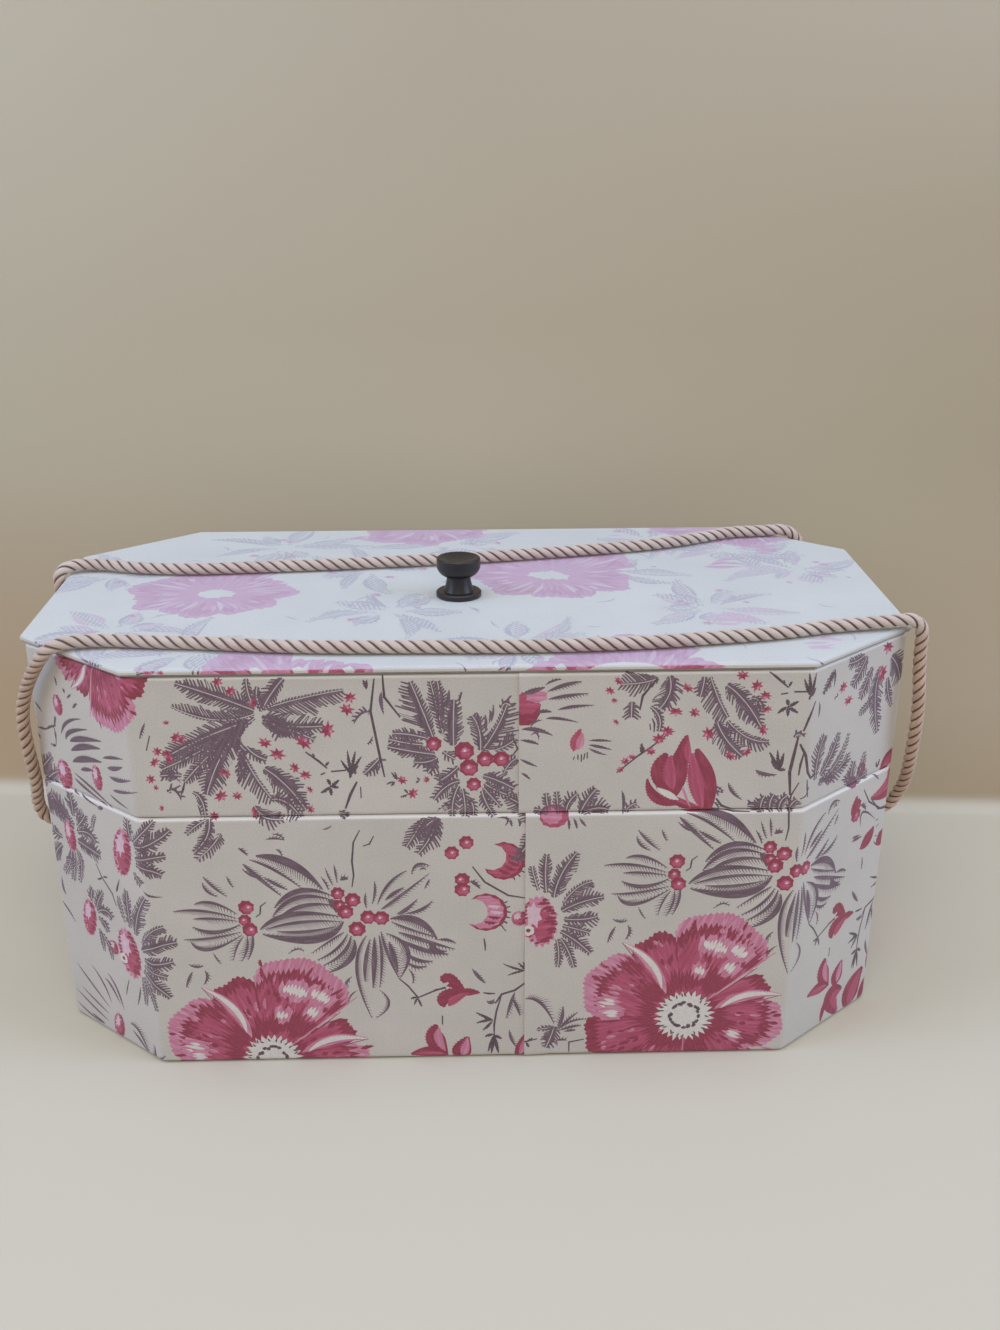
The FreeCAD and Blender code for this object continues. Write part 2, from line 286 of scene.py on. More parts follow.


# Each cloth's colours: the sides' inks are strong, the last of their ground colours a painted highlight for
# the folds; the lid's are paler, bluer copies of them, painted glare of the light from above
side_inks = print_inks(
    "sides", ("b9b2a9", "c4bcb4", "f2eee7"),
    ((0.28, "98394f"), (0.48, "a84560"), (0.62, "b4546f"), (0.74, "c27e93")),
    ((0.28, "7c2a3f"), (0.52, "8f3347"), (0.74, "a54860")),
    ((0.28, "b3607c"), (0.50, "c07890"), (0.72, "cf9db0")),
    ("d2b9bf", "cca9b5"), ((0.28, "573f4b"), (0.52, "68505c"), (0.75, "7d6a73")),
    ("674f59", "bcb1a9"), ("503f46", "645257"), ("cdc6be", "d6d0c9"))
lid_glare_inks = print_inks(
    "lid", ("bfc1bd", "c7c9c4"),
    ((0.28, "b694ab"), (0.48, "ba9db1"), (0.62, "bfa8b8"), (0.74, "c3b5bf")),
    ((0.28, "ae8ba2"), (0.52, "b596aa"), (0.74, "bca7b6")),
    ((0.28, "bfa5b6"), (0.50, "c2adbb"), (0.72, "c4b7c0")),
    ("c5b9c2", "c3b5bf"), ((0.28, "a29fac"), (0.52, "abaab2"), (0.75, "b6b6ba")),
    ("a9a6b0", "bfc1bf"), ("a39ea8", "b0adb4"), ("c8c9c9", "cdcecc"))


# Print: motifs drawn in millimetres on the complex plane, each shape with its ink and its own axes

# Distance from tooth to tooth on each kind of shape, half the width of a leaf's rib, and a tuft's teeth
stroke_pitch, leaf_pitch, ray_pitch = 1.3, 1.45, 1.2
faded_stroke_pitch, faded_leaf_pitch = 2.6, 3.0
rib_half = 0.2
tuft_comb = 0.5

# How blunt a stroke's ends are, and how early strokes and leaves swell
blunt_end, early_swell = 0.14, 0.85


def on_curve(start, bend, end, share):
    """A place on the curve from start to end that leans to bend, and the heading there."""
    place = (1 - share) ** 2 * start + 2 * share * (1 - share) * bend + share * share * end
    way = (1 - share) * (bend - start) + share * (end - bend)
    return place, way / abs(way)


class Drawing:
    """Shapes of the print in the order in which they lie over each other."""

    def __init__(self, seed):
        self.shapes = []
        self.dice = random.Random(seed)

    def shape(self, points, ink, origin, way):
        self.shapes.append((points, INKS.index(ink), origin, way / abs(way)))

    def jitter(self, amount):
        return self.dice.uniform(-amount, amount)

    def stroke(self, start, middle, end, width, teeth=0.0, ink="plum", pitch=stroke_pitch):
        """A stroke through three points that swells and thins, combed on its left, or right if under 0."""
        bend = 2 * middle - (start + end) / 2
        count = max(4, int((abs(middle - start) + abs(end - middle)) / pitch))
        plain, toothed = [], []
        for i in range(count + 1):
            share = i / count
            place, unit = on_curve(start, bend, end, share)
            side = unit * (1j if teeth > 0 else -1j)
            half = width / 2 * (blunt_end + (1 - blunt_end) * math.sin(math.pi * share ** early_swell))
            plain.append(place - side * half)
            edge = place + side * half
            toothed.append(edge)
            if teeth and i < count:
                reach = abs(teeth) * math.sin(math.pi * (0.12 + 0.76 * share)) * self.dice.uniform(0.6, 1.1)
                toothed.append(edge + unit * (pitch * 0.3 + 0.7 * reach) + side * reach)
                toothed.append(edge + unit * pitch * 0.5)
        self.shape(plain + toothed[::-1], ink, start, end - start)

    def leaf(self, start, middle, end, left, right, solid, ink="plum", pitch=leaf_pitch):
        """A leaf on a pale rib through three points: solid by the rib, combed out to its rim."""
        bend = 2 * middle - (start + end) / 2
        count = max(4, int((abs(middle - start) + abs(end - middle)) / pitch))
        lobes = self.dice.uniform(0, 6)
        for side, width in ((1j, left), (-1j, right)):
            rib, comb = [], []
            for i in range(count + 1):
                share = i / count
                place, unit = on_curve(start, bend, end, share)
                swell = math.sin(math.pi * min(1, 0.04 + 0.96 * share ** early_swell)) ** 0.6 * width
                swell *= 1 + 0.16 * math.sin(11 * share + lobes)
                rib.append(place + unit * side * rib_half)
                core = 0.85 * solid * self.dice.uniform(0.5, 1.3)
                edge = place + unit * side * (0.3 + core * swell)
                comb.append(edge)
                if i < count:
                    reach = (1 - core) * swell * self.dice.uniform(0.72, 1.14) + 0.2
                    tip = edge + unit * side * reach + unit * (pitch * 0.1 + reach * 0.8)
                    comb += [tip, tip + unit * pitch * 0.6, edge + unit * pitch * 0.86]
            self.shape(rib + comb[::-1], ink, start, end - start)

    def line(self, width, points, ink="twig"):
        """A drawn line that swells in the middle and thins at its ends."""
        left, right = [], []
        last = len(points) - 1
        for i, point in enumerate(points):
            way = points[min(last, i + 1)] - points[max(0, i - 1)]
            side = way / abs(way) * 1j
            half = width / 2 * (0.45 + 0.55 * math.sin(math.pi * (0.08 + 0.84 * i / last)))
            left.append(point + side * half)
            right.append(point - side * half)
        self.shape(left + right[::-1], ink, points[0], points[(last + 1) // 2] - points[0])

    def disc(self, centre, radius, ink, sides, teeth=0.0, squash=1.0, turn=1 + 0j):
        points = []
        for i in range(sides):
            reach = radius + (teeth * (0.6 + 0.4 * self.dice.random()) if i % 2 else 0)
            point = cmath.rect(reach, 2 * math.pi * i / sides)
            points.append(centre + complex(point.real * squash, point.imag) * turn)
        self.shape(points, ink, centre, turn)

    def rays(self, centre, start, end, near, far, ink, rag):
        """A patch of strokes side by side between two rays and two radii, ragged at both ends."""
        count = max(2, int(abs(end - start) * (near + far) / 2 / ray_pitch))
        inner, outer = [], []
        for i in range(count + 1):
            angle = start + (end - start) * i / count
            edge = 0.5 * rag * (1 - math.sin(math.pi * i / count))
            low = near + edge + rag * self.dice.uniform(0, 1) * (i % 2)
            high = far - edge - rag * self.dice.uniform(0, 1) * (i % 2)
            high = max(high, low + 0.3)
            inner.append(centre + cmath.rect(low, angle))
            outer.append(centre + cmath.rect(high, angle))
        self.shape(inner + outer[::-1], ink, centre, cmath.rect(1, (start + end) / 2))

    def motifs(self, table, shift=0j):
        """Lays out a table of motifs, each kind in a row of numbers, in millimetres."""
        def places(row):
            return [complex(x, y) + shift for x, y in zip(row[::2], row[1::2])]

        for row in table.get("leaves", ()):
            self.leaf(*places(row[:6]), *row[6:])
        for ink in ("plum", "rose_deep", "rose", "rose_light", "white"):
            for row in table.get(ink, ()):
                self.stroke(*places(row[:6]), *row[6:], ink=ink)
        for row in table.get("stems", ()):
            self.line(row[0], places(row[1:]))
        for row in table.get("tufts", ()):
            foot, *tips = places(row[1:])
            for tip in tips:
                self.stroke(foot, (foot + tip) / 2 + self.jitter(0.5) * 1j, tip, row[0], tuft_comb, "twig")
        for x, y, across, up, tilt in table.get("ovals", ()):
            self.oval(complex(x, y) + shift, across, up, tilt)
        for x, y, size in table.get("florets", ()):
            self.floret(complex(x, y) + shift, size)
        for x, y, radius in table.get("berries", ()):
            self.berry(complex(x, y) + shift, radius)

    def oval(self, centre, across, up, tilt):
        """The head of a thistle: hairy round its rim, with a pale cheek."""
        turn = cmath.rect(1, tilt)
        squash = across / up
        # The head is printed, but its rim and body are drawn a step paler as painted glare of cool light on
        # the cut corners where most heads lie
        self.disc(centre, up * 0.94, "rose_light", 36, up * 0.2, squash, turn)
        low = centre + turn * complex(0.16 * across, -0.2 * up)
        self.disc(low, up * 0.6, "rose", 20, up * 0.22, squash, turn)
        cheek = centre - turn * complex(0.3 * across, -0.3 * up)
        self.disc(cheek, up * 0.36, "rose_pale", 14, up * 0.24, squash, turn)
        for i in range(12):
            share = -0.85 + 0.15 * i + self.jitter(0.05)
            edge = math.sqrt(max(0.05, 1 - share * share))
            tip = centre + turn * complex(across * edge, up * share)
            foot = tip - turn * complex(across * self.dice.uniform(0.3, 0.9), up * self.jitter(0.1))
            self.stroke(foot, (foot + tip) / 2 + turn * 0.3j, tip, up * 0.14, 0.4, "rose_deep")
            far = centre - turn * complex(across * edge, -up * share)
            near = far + turn * complex(across * self.dice.uniform(0.1, 0.4), 0)
            self.stroke(far, (near + far) / 2, near, up * 0.1, 0.3, "rose_deep")

    def floret(self, centre, size):
        """A small ragged rose flower, with a darker side."""
        turn = cmath.rect(1, self.jitter(3))
        squash = self.dice.uniform(0.6, 0.95)
        self.disc(centre, size * 0.5, "rose", 14, size * 0.62, squash, turn)
        self.disc(centre + turn * size * 0.16, size * 0.3, "rose_deep", 10, size * 0.5, squash, turn)
        self.disc(centre - turn * size * 0.3, size * 0.16, "rose_light", 7, size * 0.1)

    def berry(self, centre, radius):
        """A round berry, dark above and pale where the light meets it below."""
        self.disc(centre, radius * 0.92, "rose_deep", 16, 0.7)
        low = centre + radius * complex(self.jitter(0.15), -0.2)
        self.disc(low, radius * 0.55, "rose", 11, 0.8, self.dice.uniform(0.8, 1.2))
        spot = low + radius * complex(self.jitter(0.15), 0.1)
        start, end = spot - radius * 0.35, spot + radius * 0.3
        self.stroke(start, spot + radius * 0.15j, end, radius * 0.45, 0.4, "rose_light")
        self.disc(spot + radius * 0.1j, radius * 0.14, "white", 6)


# Petals of the poppy, from the hindmost: start and end in degrees, reach, the side of its pale fold or 0,
# whether its rim is pale, and its worn patches, each as shares of the petal's width and reach
poppy_petals = (
    (91, 131, 47, 0, 0, ()), (214, 274, 44, 1, 0, ()), (270, 334, 43, 0, 1, ()), (176, 217, 48, 0, 0, ()),
    (10, 38, 42, 1, 0, ()), (-29, 13, 47, 1, 1, ((-0.98, -0.62, 0.5, 0.6),)),
    (127, 180, 51, -1, 1, ((0.42, 0.8, 0.66, 0.78), (0.74, 1.0, 0.62, 0.72))),
    (39, 98, 57, 0, 1, ((-0.2, 0.38, 0.66, 0.72), (-0.66, -0.26, 0.7, 0.76), (-0.7, -0.4, 0.54, 0.6),
                        (0.1, 0.45, 0.42, 0.46))))
stamens, outer_hairs = 24, 26


def poppy(draw, centre, scale=1.0, turn=0.0, wear_and_highlight=True):
    """A big open poppy: lapped petals with toothed rims round a white ring of stamens."""
    for start, end, reach, fold, pale_rim, patches in poppy_petals:
        middle = math.radians((start + end) / 2) + turn
        half = math.radians(end - start) / 2
        reach *= scale

        def outline(part, rag, pitch, ink):
            steps = int(2 * half * reach / pitch)
            points = [centre + cmath.rect(8 * scale, middle + half * 0.8 * way) for way in (1, -1)]
            for i in range(steps + 1):
                across = 2 * i / steps - 1
                radius = reach * part * (1 - 0.21 * abs(across) ** 3.4 + 0.02 * math.sin(7 * across + start))
                radius -= (i % 2) * rag * draw.dice.uniform(0.5, 1)
                points.append(centre + cmath.rect(radius, middle + half * across))
            draw.shape(points, ink, centre, cmath.rect(1, middle))

        def hatch(first, last, near, far, ink, width=1.5, gap=1.5):
            """Strokes side by side along the petal, of uneven length."""
            span = half * (last - first)
            count = max(2, int(span * reach * (near + far) / 2 / gap))
            for i in range(count):
                angle = middle + half * first + span * (i + 0.5) / count + draw.jitter(0.008)
                swell = 0.5 + 0.5 * math.sin(math.pi * (i + 0.5) / count)
                low = near + (far - near) * 0.5 * (1 - swell * draw.dice.uniform(0.7, 1.1))
                high = far - (far - near) * 0.5 * (1 - swell * draw.dice.uniform(0.7, 1.1))
                foot = centre + cmath.rect(reach * low, angle + draw.jitter(0.01))
                tip = centre + cmath.rect(reach * high, angle + draw.jitter(0.01))
                draw.stroke(foot, (foot + tip) / 2, tip, width * scale, 0.0, ink)

        outline(1.0, 1.5, 1.25, "rose_light" if pale_rim else "rose_deep")
        outline(0.9, 4.4, 1.3, "rose_deep" if pale_rim else "rose")
        outline(0.82, 5.4, 1.3, "rose")
        lean = draw.jitter(0.15)
        hatch(-1, -0.05 + lean, 0.22, 0.62, "rose_deep", 1.9, 1.4)
        hatch(-0.1 + lean, 0.95, 0.22, 0.48, "rose_deep", 1.9, 1.4)
        hatch(-0.98, -0.55, 0.55, 0.9, "rose_deep")
        for i in range(int(half * reach * 1.1)):
            share, angle = draw.dice.uniform(0.45, 0.9), middle + half * draw.jitter(0.9)
            foot = centre + cmath.rect(reach * share, angle)
            tip = foot + cmath.rect(draw.dice.uniform(2.5, 6.5) * scale, angle + draw.jitter(0.25))
            ink = draw.dice.choice(("rose_deep", "rose_light", "rose_deep"))
            middle_of_fleck = (foot + tip) / 2 + draw.jitter(0.5)
            draw.stroke(foot, middle_of_fleck, tip, draw.dice.uniform(0.9, 2.2) * scale, 0.5, ink)
        for first, last, near, far in patches if wear_and_highlight else ():
            draw.rays(centre, middle + half * (first - 0.13), middle + half * (last + 0.1),
                      reach * (near - 0.08), reach * (far + 0.08), "rose_light", 4.5 * scale)
            hatch(first, last, near - 0.03, far + 0.03, "white", 1.7, 1.35)
        if fold:
            edge = middle + half * fold
            near, far = centre + cmath.rect(reach * 0.3, edge), centre + cmath.rect(reach * 0.98, edge)
            halfway = (near + far) / 2
            side = (far - near) * 0.11j * fold
            draw.stroke(near, halfway + side, far, 5.0 * scale, 0.9, "rose_light")
            draw.stroke(near + (far - near) * 0.1, halfway + side * 1.1, far, 2.6 * scale, 0.7, "white")
            draw.line(0.6, [near, halfway - side * 0.2, far], "rose_deep")
        else:
            edge = middle - half * 0.98
            seam = [centre + cmath.rect(reach * share, edge) for share in (0.25, 0.5, 0.75, 0.92)]
            draw.line(0.9, seam, "rose_light")
    draw.disc(centre, 11.2 * scale, "white", 56, 3.4 * scale)
    for i in range(stamens):
        heading = cmath.rect(1, 2 * math.pi * i / stamens + draw.jitter(0.2))
        start = centre + heading * scale * (6.6 + draw.jitter(0.5))
        way = heading * scale * cmath.rect(1, draw.dice.choice((1.5, 1.8, 1.3)))
        draw.stroke(start, start + way, start + way * 2.3, 1.6, 0.5, "twig")
    for i in range(outer_hairs):
        heading = cmath.rect(1, 2 * math.pi * i / outer_hairs + draw.jitter(0.1))
        start = centre + heading * scale * (10.2 + draw.jitter(0.8))
        tip = start + heading * scale * cmath.rect(2.4, draw.jitter(0.8))
        draw.stroke(start, (start + tip) / 2 + heading * 0.2j, tip, 0.8, 0.0, "twig")


def crescent(draw, centre, size, turn, pale):
    """A curled bud with hairs on its back, hollow on one side."""
    way = cmath.rect(1, turn)
    draw.disc(centre, size, "rose_deep", 28, 0.5)
    draw.disc(centre + way * size * 0.06, size * 0.88, "rose_light" if pale else "rose", 24, 0.8)
    for share in (-0.5, -0.2, 0.1, 0.4):
        foot = centre - way * size * complex(0.85 - abs(share) * 0.5, share)
        draw.stroke(foot, foot + way * size * complex(0.3, 0.05), foot + way * size * 0.62, 1.6, 0.9,
                    "rose_pale" if pale and share > 0 else "rose_deep")
    draw.disc(centre + way * size * complex(0.62, 0.05), size * 0.68, "ground", 22, 0.4)
    for i in range(6):
        hair = centre - way * cmath.rect(size, 1.4 * (i / 5 - 0.5))
        draw.line(0.8, [hair, hair - way * 0.8, hair - way * cmath.rect(1.8, 1.0 * (i / 5 - 0.5))])


def spray(draw, centre, leaves):
    """A star of leaves round a point, each as degrees, length and width."""
    for angle, length, width in leaves:
        way = cmath.rect(1, math.radians(angle))
        foot = centre + way * 2.5
        middle = foot + way * length * complex(0.5, draw.jitter(0.12))
        solid = draw.dice.uniform(0.3, 0.65)
        draw.leaf(foot, middle, foot + way * length, width * 0.5, width * 0.42, solid)


# Tables of the print's motifs, in millimetres on the face where they lie: leaves by three points of the
# rib, two widths and the solid share; strokes by three points, width and teeth; stems and tufts by width
# and points; ovals, florets and berries by centre and size

low_motifs = {
    "plum": (
        (-124, 84.5, -115.5, 85, -105, 79, 1.5, -3.1), (-133.5, 81, -120, 81, -105.5, 77, 1.4, -3.1),
        (-125, 77, -116, 77, -105, 75.5, 1.3, -2.6), (-125.5, 73, -115.5, 70, -104, 74, 2, -3.1),
        (-130, 66.5, -117.5, 67, -104, 70, 1.3, -2.3), (-127, 65.5, -119, 61, -103.5, 68.5, 1.8, 2.3),
        (-103, 67.5, -106.5, 62, -108.5, 54.5, 0.9, -3.1), (-101.5, 67.5, -102, 61, -105, 54, 1.1, -3.4),
        (-99, 69, -99.5, 62, -102, 55, 1.3, -3.9), (-119, 98.5, -114.5, 93, -109, 88, 1.3, 2.1),
        (-119.5, 95.5, -117.5, 91, -113, 88, 1.3, 2.1), (-108.5, 98.5, -107.5, 95.5, -106, 92.5, 0.9, 1.3),
        (-95, 108.5, -79.5, 104, -66.5, 91, 4.2, -4.2), (-98, 106.5, -87, 101, -75, 91, 1.4, 1.8),
        (-101, 104.5, -94.5, 97.5, -85, 88, 2, 2.1), (-92, 97.5, -87, 94, -82, 91, 1.6, 1.8),
        (-102.5, 112.5, -100.5, 111, -98.5, 108.5, 1.3, 1.6), (-101.5, 102, -97, 98.5, -93, 97.5, 1.4, 1.6),
        (-88.5, 82, -77, 90.5, -63, 88, 2.7, -3.6), (-89.5, 77.5, -78, 87, -62.5, 85.5, 2.3, -3.9),
        (-86.5, 77, -75, 83, -61, 82.5, 2.1, -3.9), (-95.5, 71, -81, 78.5, -59.5, 77, 2.7, -3.9),
        (-93, 71, -77, 74.5, -59, 74.5, 1.6, -3.9), (-94.5, 68.5, -70.5, 65.5, -58, 74.5, 4.2, 3.1),
        (-88, 70, -75.5, 69.5, -61.5, 72, 1.6, -3.1), (-64.5, 85.5, -62, 83.5, -61, 79, 3.6, 1.6),
        (-42.5, 83, -37, 93.5, -29, 100, 1.4, -1.6), (-41, 80.5, -33, 86.5, -19, 98.5, 1.5, -2.1),
        (-39, 85, -35, 88.5, -30.5, 91.5, 1.9, -2.1), (-27, 98, -24, 103, -18.5, 102, 1.4, -2.6),
        (-23.5, 100, -21.5, 101, -20.5, 99, 1.1, -2.1), (-34, 78, -30, 80, -24.5, 85.5, 1.9, -2.1),
        (-30, 78, -23, 80, -18, 84.5, 1.7, -1.8), (-19, 95.5, -20, 93.5, -21.5, 90.5, 0.9, 1.6),
        (-37, 75.5, -24.5, 74, -16, 64, 3.6, -3.1), (-36.5, 74, -27.5, 69.5, -16, 65.5, 1.3, -2.6),
        (-16, 64, -11.5, 64, -7.5, 62, 1.5, -1.3), (-33.5, 68.5, -22.5, 64, -8, 59, 2.1, -3.1),
        (-32.5, 64.5, -22.5, 59, -11, 56.5, 2.5, -3.1), (-18.5, 63.5, -17.5, 59, -12, 58, 3.2, -2.6),
        (-30.5, 57.5, -25, 53.5, -18, 53, 2.1, -2.6), (-30, 53, -26, 50, -21, 50.5, 1.6, -2.1),
        (-41.5, 69, -38.5, 56.5, -34, 44, 1.5, 2.1), (-39, 68, -29.5, 58.5, -33.5, 44, 2, -4.2),
        (-38, 63.5, -36, 55.5, -34.5, 47, 2.7, 3.1), (-48, 67, -53, 48.5, -47, 22.5, 1.5, 2.1),
        (-46.5, 65, -49, 52.5, -49.5, 42.5, 1.9, 3.1), (-44.5, 66, -45, 52.5, -46, 39, 2.5, 2.6),
        (-42.5, 67, -41.5, 54.5, -43, 39, 1.4, 2.6), (-43, 38, -39, 30, -45.5, 22.5, 1.1, -1.8),
        (-56.5, 68, -62, 60, -71, 54.5, 1.4, 2.3), (-55, 67, -59, 58, -68.5, 51.5, 1.8, 2.6),
        (-53.5, 65, -56, 54.5, -66.5, 47.5, 2.7, -3.9), (-58, 69, -64.5, 64.5, -73.5, 58, 1.1, 2.3),
        (-65, 102, -63.5, 97, -62, 93, 0.8, 1), (-61, 103.5, -60.5, 99, -60, 94, 0.9, 1),
        (-67, 97.5, -65, 94, -64, 90.5, 0.9, 1), (-47.5, 89, -48, 85, -47.5, 81, 1.1, 1),
        (-43.5, 95, -43.5, 89, -45, 83, 1.1, 1), (-58.5, 95.5, -57, 96.5, -55, 96, 2.1, 1.6),
        (-90, 116.5, -86, 117, -82, 116, 1.1, 1.6), (-87, 119, -84, 118.5, -82, 116, 0.9, 1.3),
        (-86, 111.5, -84.5, 110.5, -83.5, 108, 0.9, 1.3), (-117.5, 59.5, -116, 56, -114, 53, 0.8, 0.8),
        (-129, 53.5, -125.5, 52, -122, 52.5, 1.3, 1.6), (-127.5, 49.5, -129.5, 45.5, -131, 41, 1.3, 1.6),
        (-122, 50, -121, 46.5, -123, 42.5, 1.3, 1.6), (-83.5, 58, -79.5, 60.5, -76.5, 59, 0.8, 1.6),
        (-55.5, 45.5, -58, 42.5, -58.5, 41, 1.3, 2.1), (-53, 38, -56.5, 35, -58, 30, 0.8, 0.8),
        (-29.5, 49, -27.5, 45, -28, 41, 0.9, 1.3), (-1, 94, 1, 93, 3.5, 90, 1.9, 1.8),
        (7, 108, 8.5, 106, 11.5, 103, 1.1, 1), (-5.5, 76.5, -1.5, 76.5, 2.5, 76.5, 1.6, 0.8),
        (-0.5, 48.5, 2.5, 44, 5.5, 40.5, 1.8, 1), (19, 35.5, 17, 29, 15, 21, 1.5, 2.3),
        (18, 32.5, 20, 27.5, 21.5, 22.5, 1.5, 2.3), (16.5, 15, 17.5, 10, 20, 5, 1.4, 1.3),
        (6, 31, 8, 30, 10, 30.5, 1.9, 1.6), (-168, 12, -161, 9.5, -154.5, -2.5, 1.6, 3.9),
        (-153, -5, -151, 1, -150.5, 7.5, 1.8, 2.3), (-152.5, -5, -148, 0, -143.5, 4, 1.2, 1.3),
        (-152.5, -5.5, -146.5, -1, -139, 0, 1.1, 1.3), (-152.5, -6, -146.5, -4, -142, -3.5, 1.4, 1.3),
        (-150, -6.5, -147, -6, -144.5, -6, 1.3, 1), (-153.5, -11.5, -151, -11, -148.5, -11.5, 1.3, 2.1),
    ),
    "stems": (
        (0.9, -49, 120.5, -52, 114.5, -53, 105, -52.5, 98, -53.5, 92),
        (0.8, -48, 112.5, -45, 113.5, -43, 117.5), (0.8, -92, 85, -94.5, 83, -95, 79, -97, 77.5),
        (1, -34, 44, -30, 40, -25.5, 33.5, -19, 36.5, -13, 39), (1, 0, 101.5, 5.5, 93.5, 16, 86.5, 24, 85),
        (0.9, 5, 64.5, 5.5, 61, 5.5, 58), (0.9, 13, 81, 15, 81.5), (0.9, 14, 77.5, 16, 78.5),
        (0.9, 14, 73, 15.5, 72), (0.9, 13.5, 70, 15, 68), (1.1, -20, 36, -17, 37.5, -12.5, 38.5),
        (1.1, 4.5, 35.5, 7, 35, 10, 35), (1.1, -14.5, 18.5, -14.5, 23.5),
        (1.2, 24.5, 41, 19, 36.5, 13, 34.5, 10, 29.5), (1, 13, 34.5, 10.5, 25, 9.5, 18, 9.5, 12.5),
        (0.9, 34, 59.5, 31.5, 52.5, 30, 49), (0.9, 32, 52.5, 32.5, 45.5),
        (1.1, -170, -7.5, -168.5, -11.5, -162.5, -10), (1, -147.5, -18, -147.5, -12.5, -140.5, -11),
    ),
    "tufts": (
        (1.1, -25.5, 33.5, -29, 33, -27.5, 29.5, -24, 28.5), (1.4, 9, 20.5, 1, 25, 1, 19, 4, 15, 5, 21.5),
        (1.6, 9.5, 12.5, 6.5, 3, 8, 2, 11.5, 2, 13, 10, 5, 11.5),
        (1.1, 24, 47, 20.5, 51.5, 23, 52, 13.5, 51, 15.5, 44.5),
        (1.2, -167.5, -11.5, -164.5, -9.5, -166.5, -14.5),
    ),
    "berries": (
        (-101, 82.5, 3.6), (-102, 76, 2.9), (-100, 71, 3.5), (-60, 89, 3.1), (-53.5, 85.5, 3.6),
        (-59.5, 83, 2.7), (-57, 79.5, 3.7), (-47, 76.5, 3.5), (-41, 76, 3.6), (-52, 70.5, 3.9),
        (-2.5, 113.5, 3.3), (-9, 108.5, 3.3), (-4.5, 95, 3.4), (-4.5, 90, 3.6),
    ),
    "leaves": (
        (-162.5, 69, -164.5, 76, -165.5, 81.5, 1.6, 1.2, 0.35),
        (-159, 67.5, -159.5, 78.5, -159, 87, 2.8, 2.4, 0.55),
        (-155.5, 65, -152.5, 76.5, -145.5, 88, 3.2, 5.2, 0.5),
        (-151.5, 62, -145.5, 69.5, -138.5, 73, 1.2, 3.6, 0.25),
        (-152, 58, -143, 62.5, -133, 65, 4.6, 3.2, 0.55), (-151, 54, -143, 53.5, -135.5, 55, 3.2, 4, 0.5),
        (-151.5, 50.5, -145, 48.5, -139, 46.5, 2, 2.6, 0.4),
        (-152.5, 47.5, -145, 42, -138.5, 35.5, 3.6, 2.6, 0.5),
        (-154, 43.5, -153, 35.5, -153.5, 28.5, 1.6, 1.6, 0.55),
        (-152.5, 44, -148.5, 36.5, -146, 28, 2.1, 1.8, 0.5),
        (-154.5, -3.5, -156, -9, -158.5, -15.5, 3.8, 3.6, 0.7),
        (-154.5, -4, -158, -4.5, -163, -5, 1.2, 1.4, 0.5),
    ),
    "rose_deep": (
        (-13.5, 28, -12, 34, -0.5, 37, 7, 0.7), (-13.5, 41, -11, 42.5, -3, 35, 7, 0.7),
        (-6, 36, -2, 36, 3, 35.5, 4, 0.5), (-12, 1.5, -20.5, 3.5, -29.5, 2.5, 6.5, 0.7),
        (-12.5, 1.5, -18, 11, -17, 18.5, 9, 0.7), (-7, -1.5, -5.5, 4.5, -2.5, 11.5, 9, 0.7),
        (0, -5.5, -9, -7.5, -2.5, -19, 12, 0.8), (6.5, -20, 9, -10, 17, -0.5, 14, 0.8),
        (15.5, -19.5, 20, -12, 24.5, -5.5, 6, 0.8), (20, -2.5, 23, 5.5, 25, 13.5, 6.5, 0.6),
        (-16, -18, -14.5, -10.5, -11, -4.5, 3.5, 0.6),
    ),
    "rose": (
        (-11.5, 28.5, -8.5, 32, -2, 35.5, 4, 0.7), (-13.5, 2, -20.5, 2.5, -27.5, 2.5, 3, 0.7),
        (-1, -6.5, -6, -8.5, -2, -17, 6, 0.8), (8, -19, 10.5, -10.5, 15.5, -2, 7, 0.8),
    ),
    "rose_light": (
        (-13.5, 4, -16.5, 11.5, -15.5, 16.5, 4, 0.7), (-5.5, 0.5, -4, 5, -3, 11, 4, 0.7),
        (21, -0.5, 23, 5.5, 24, 10.5, 2.5, 0.6),
    ),
}
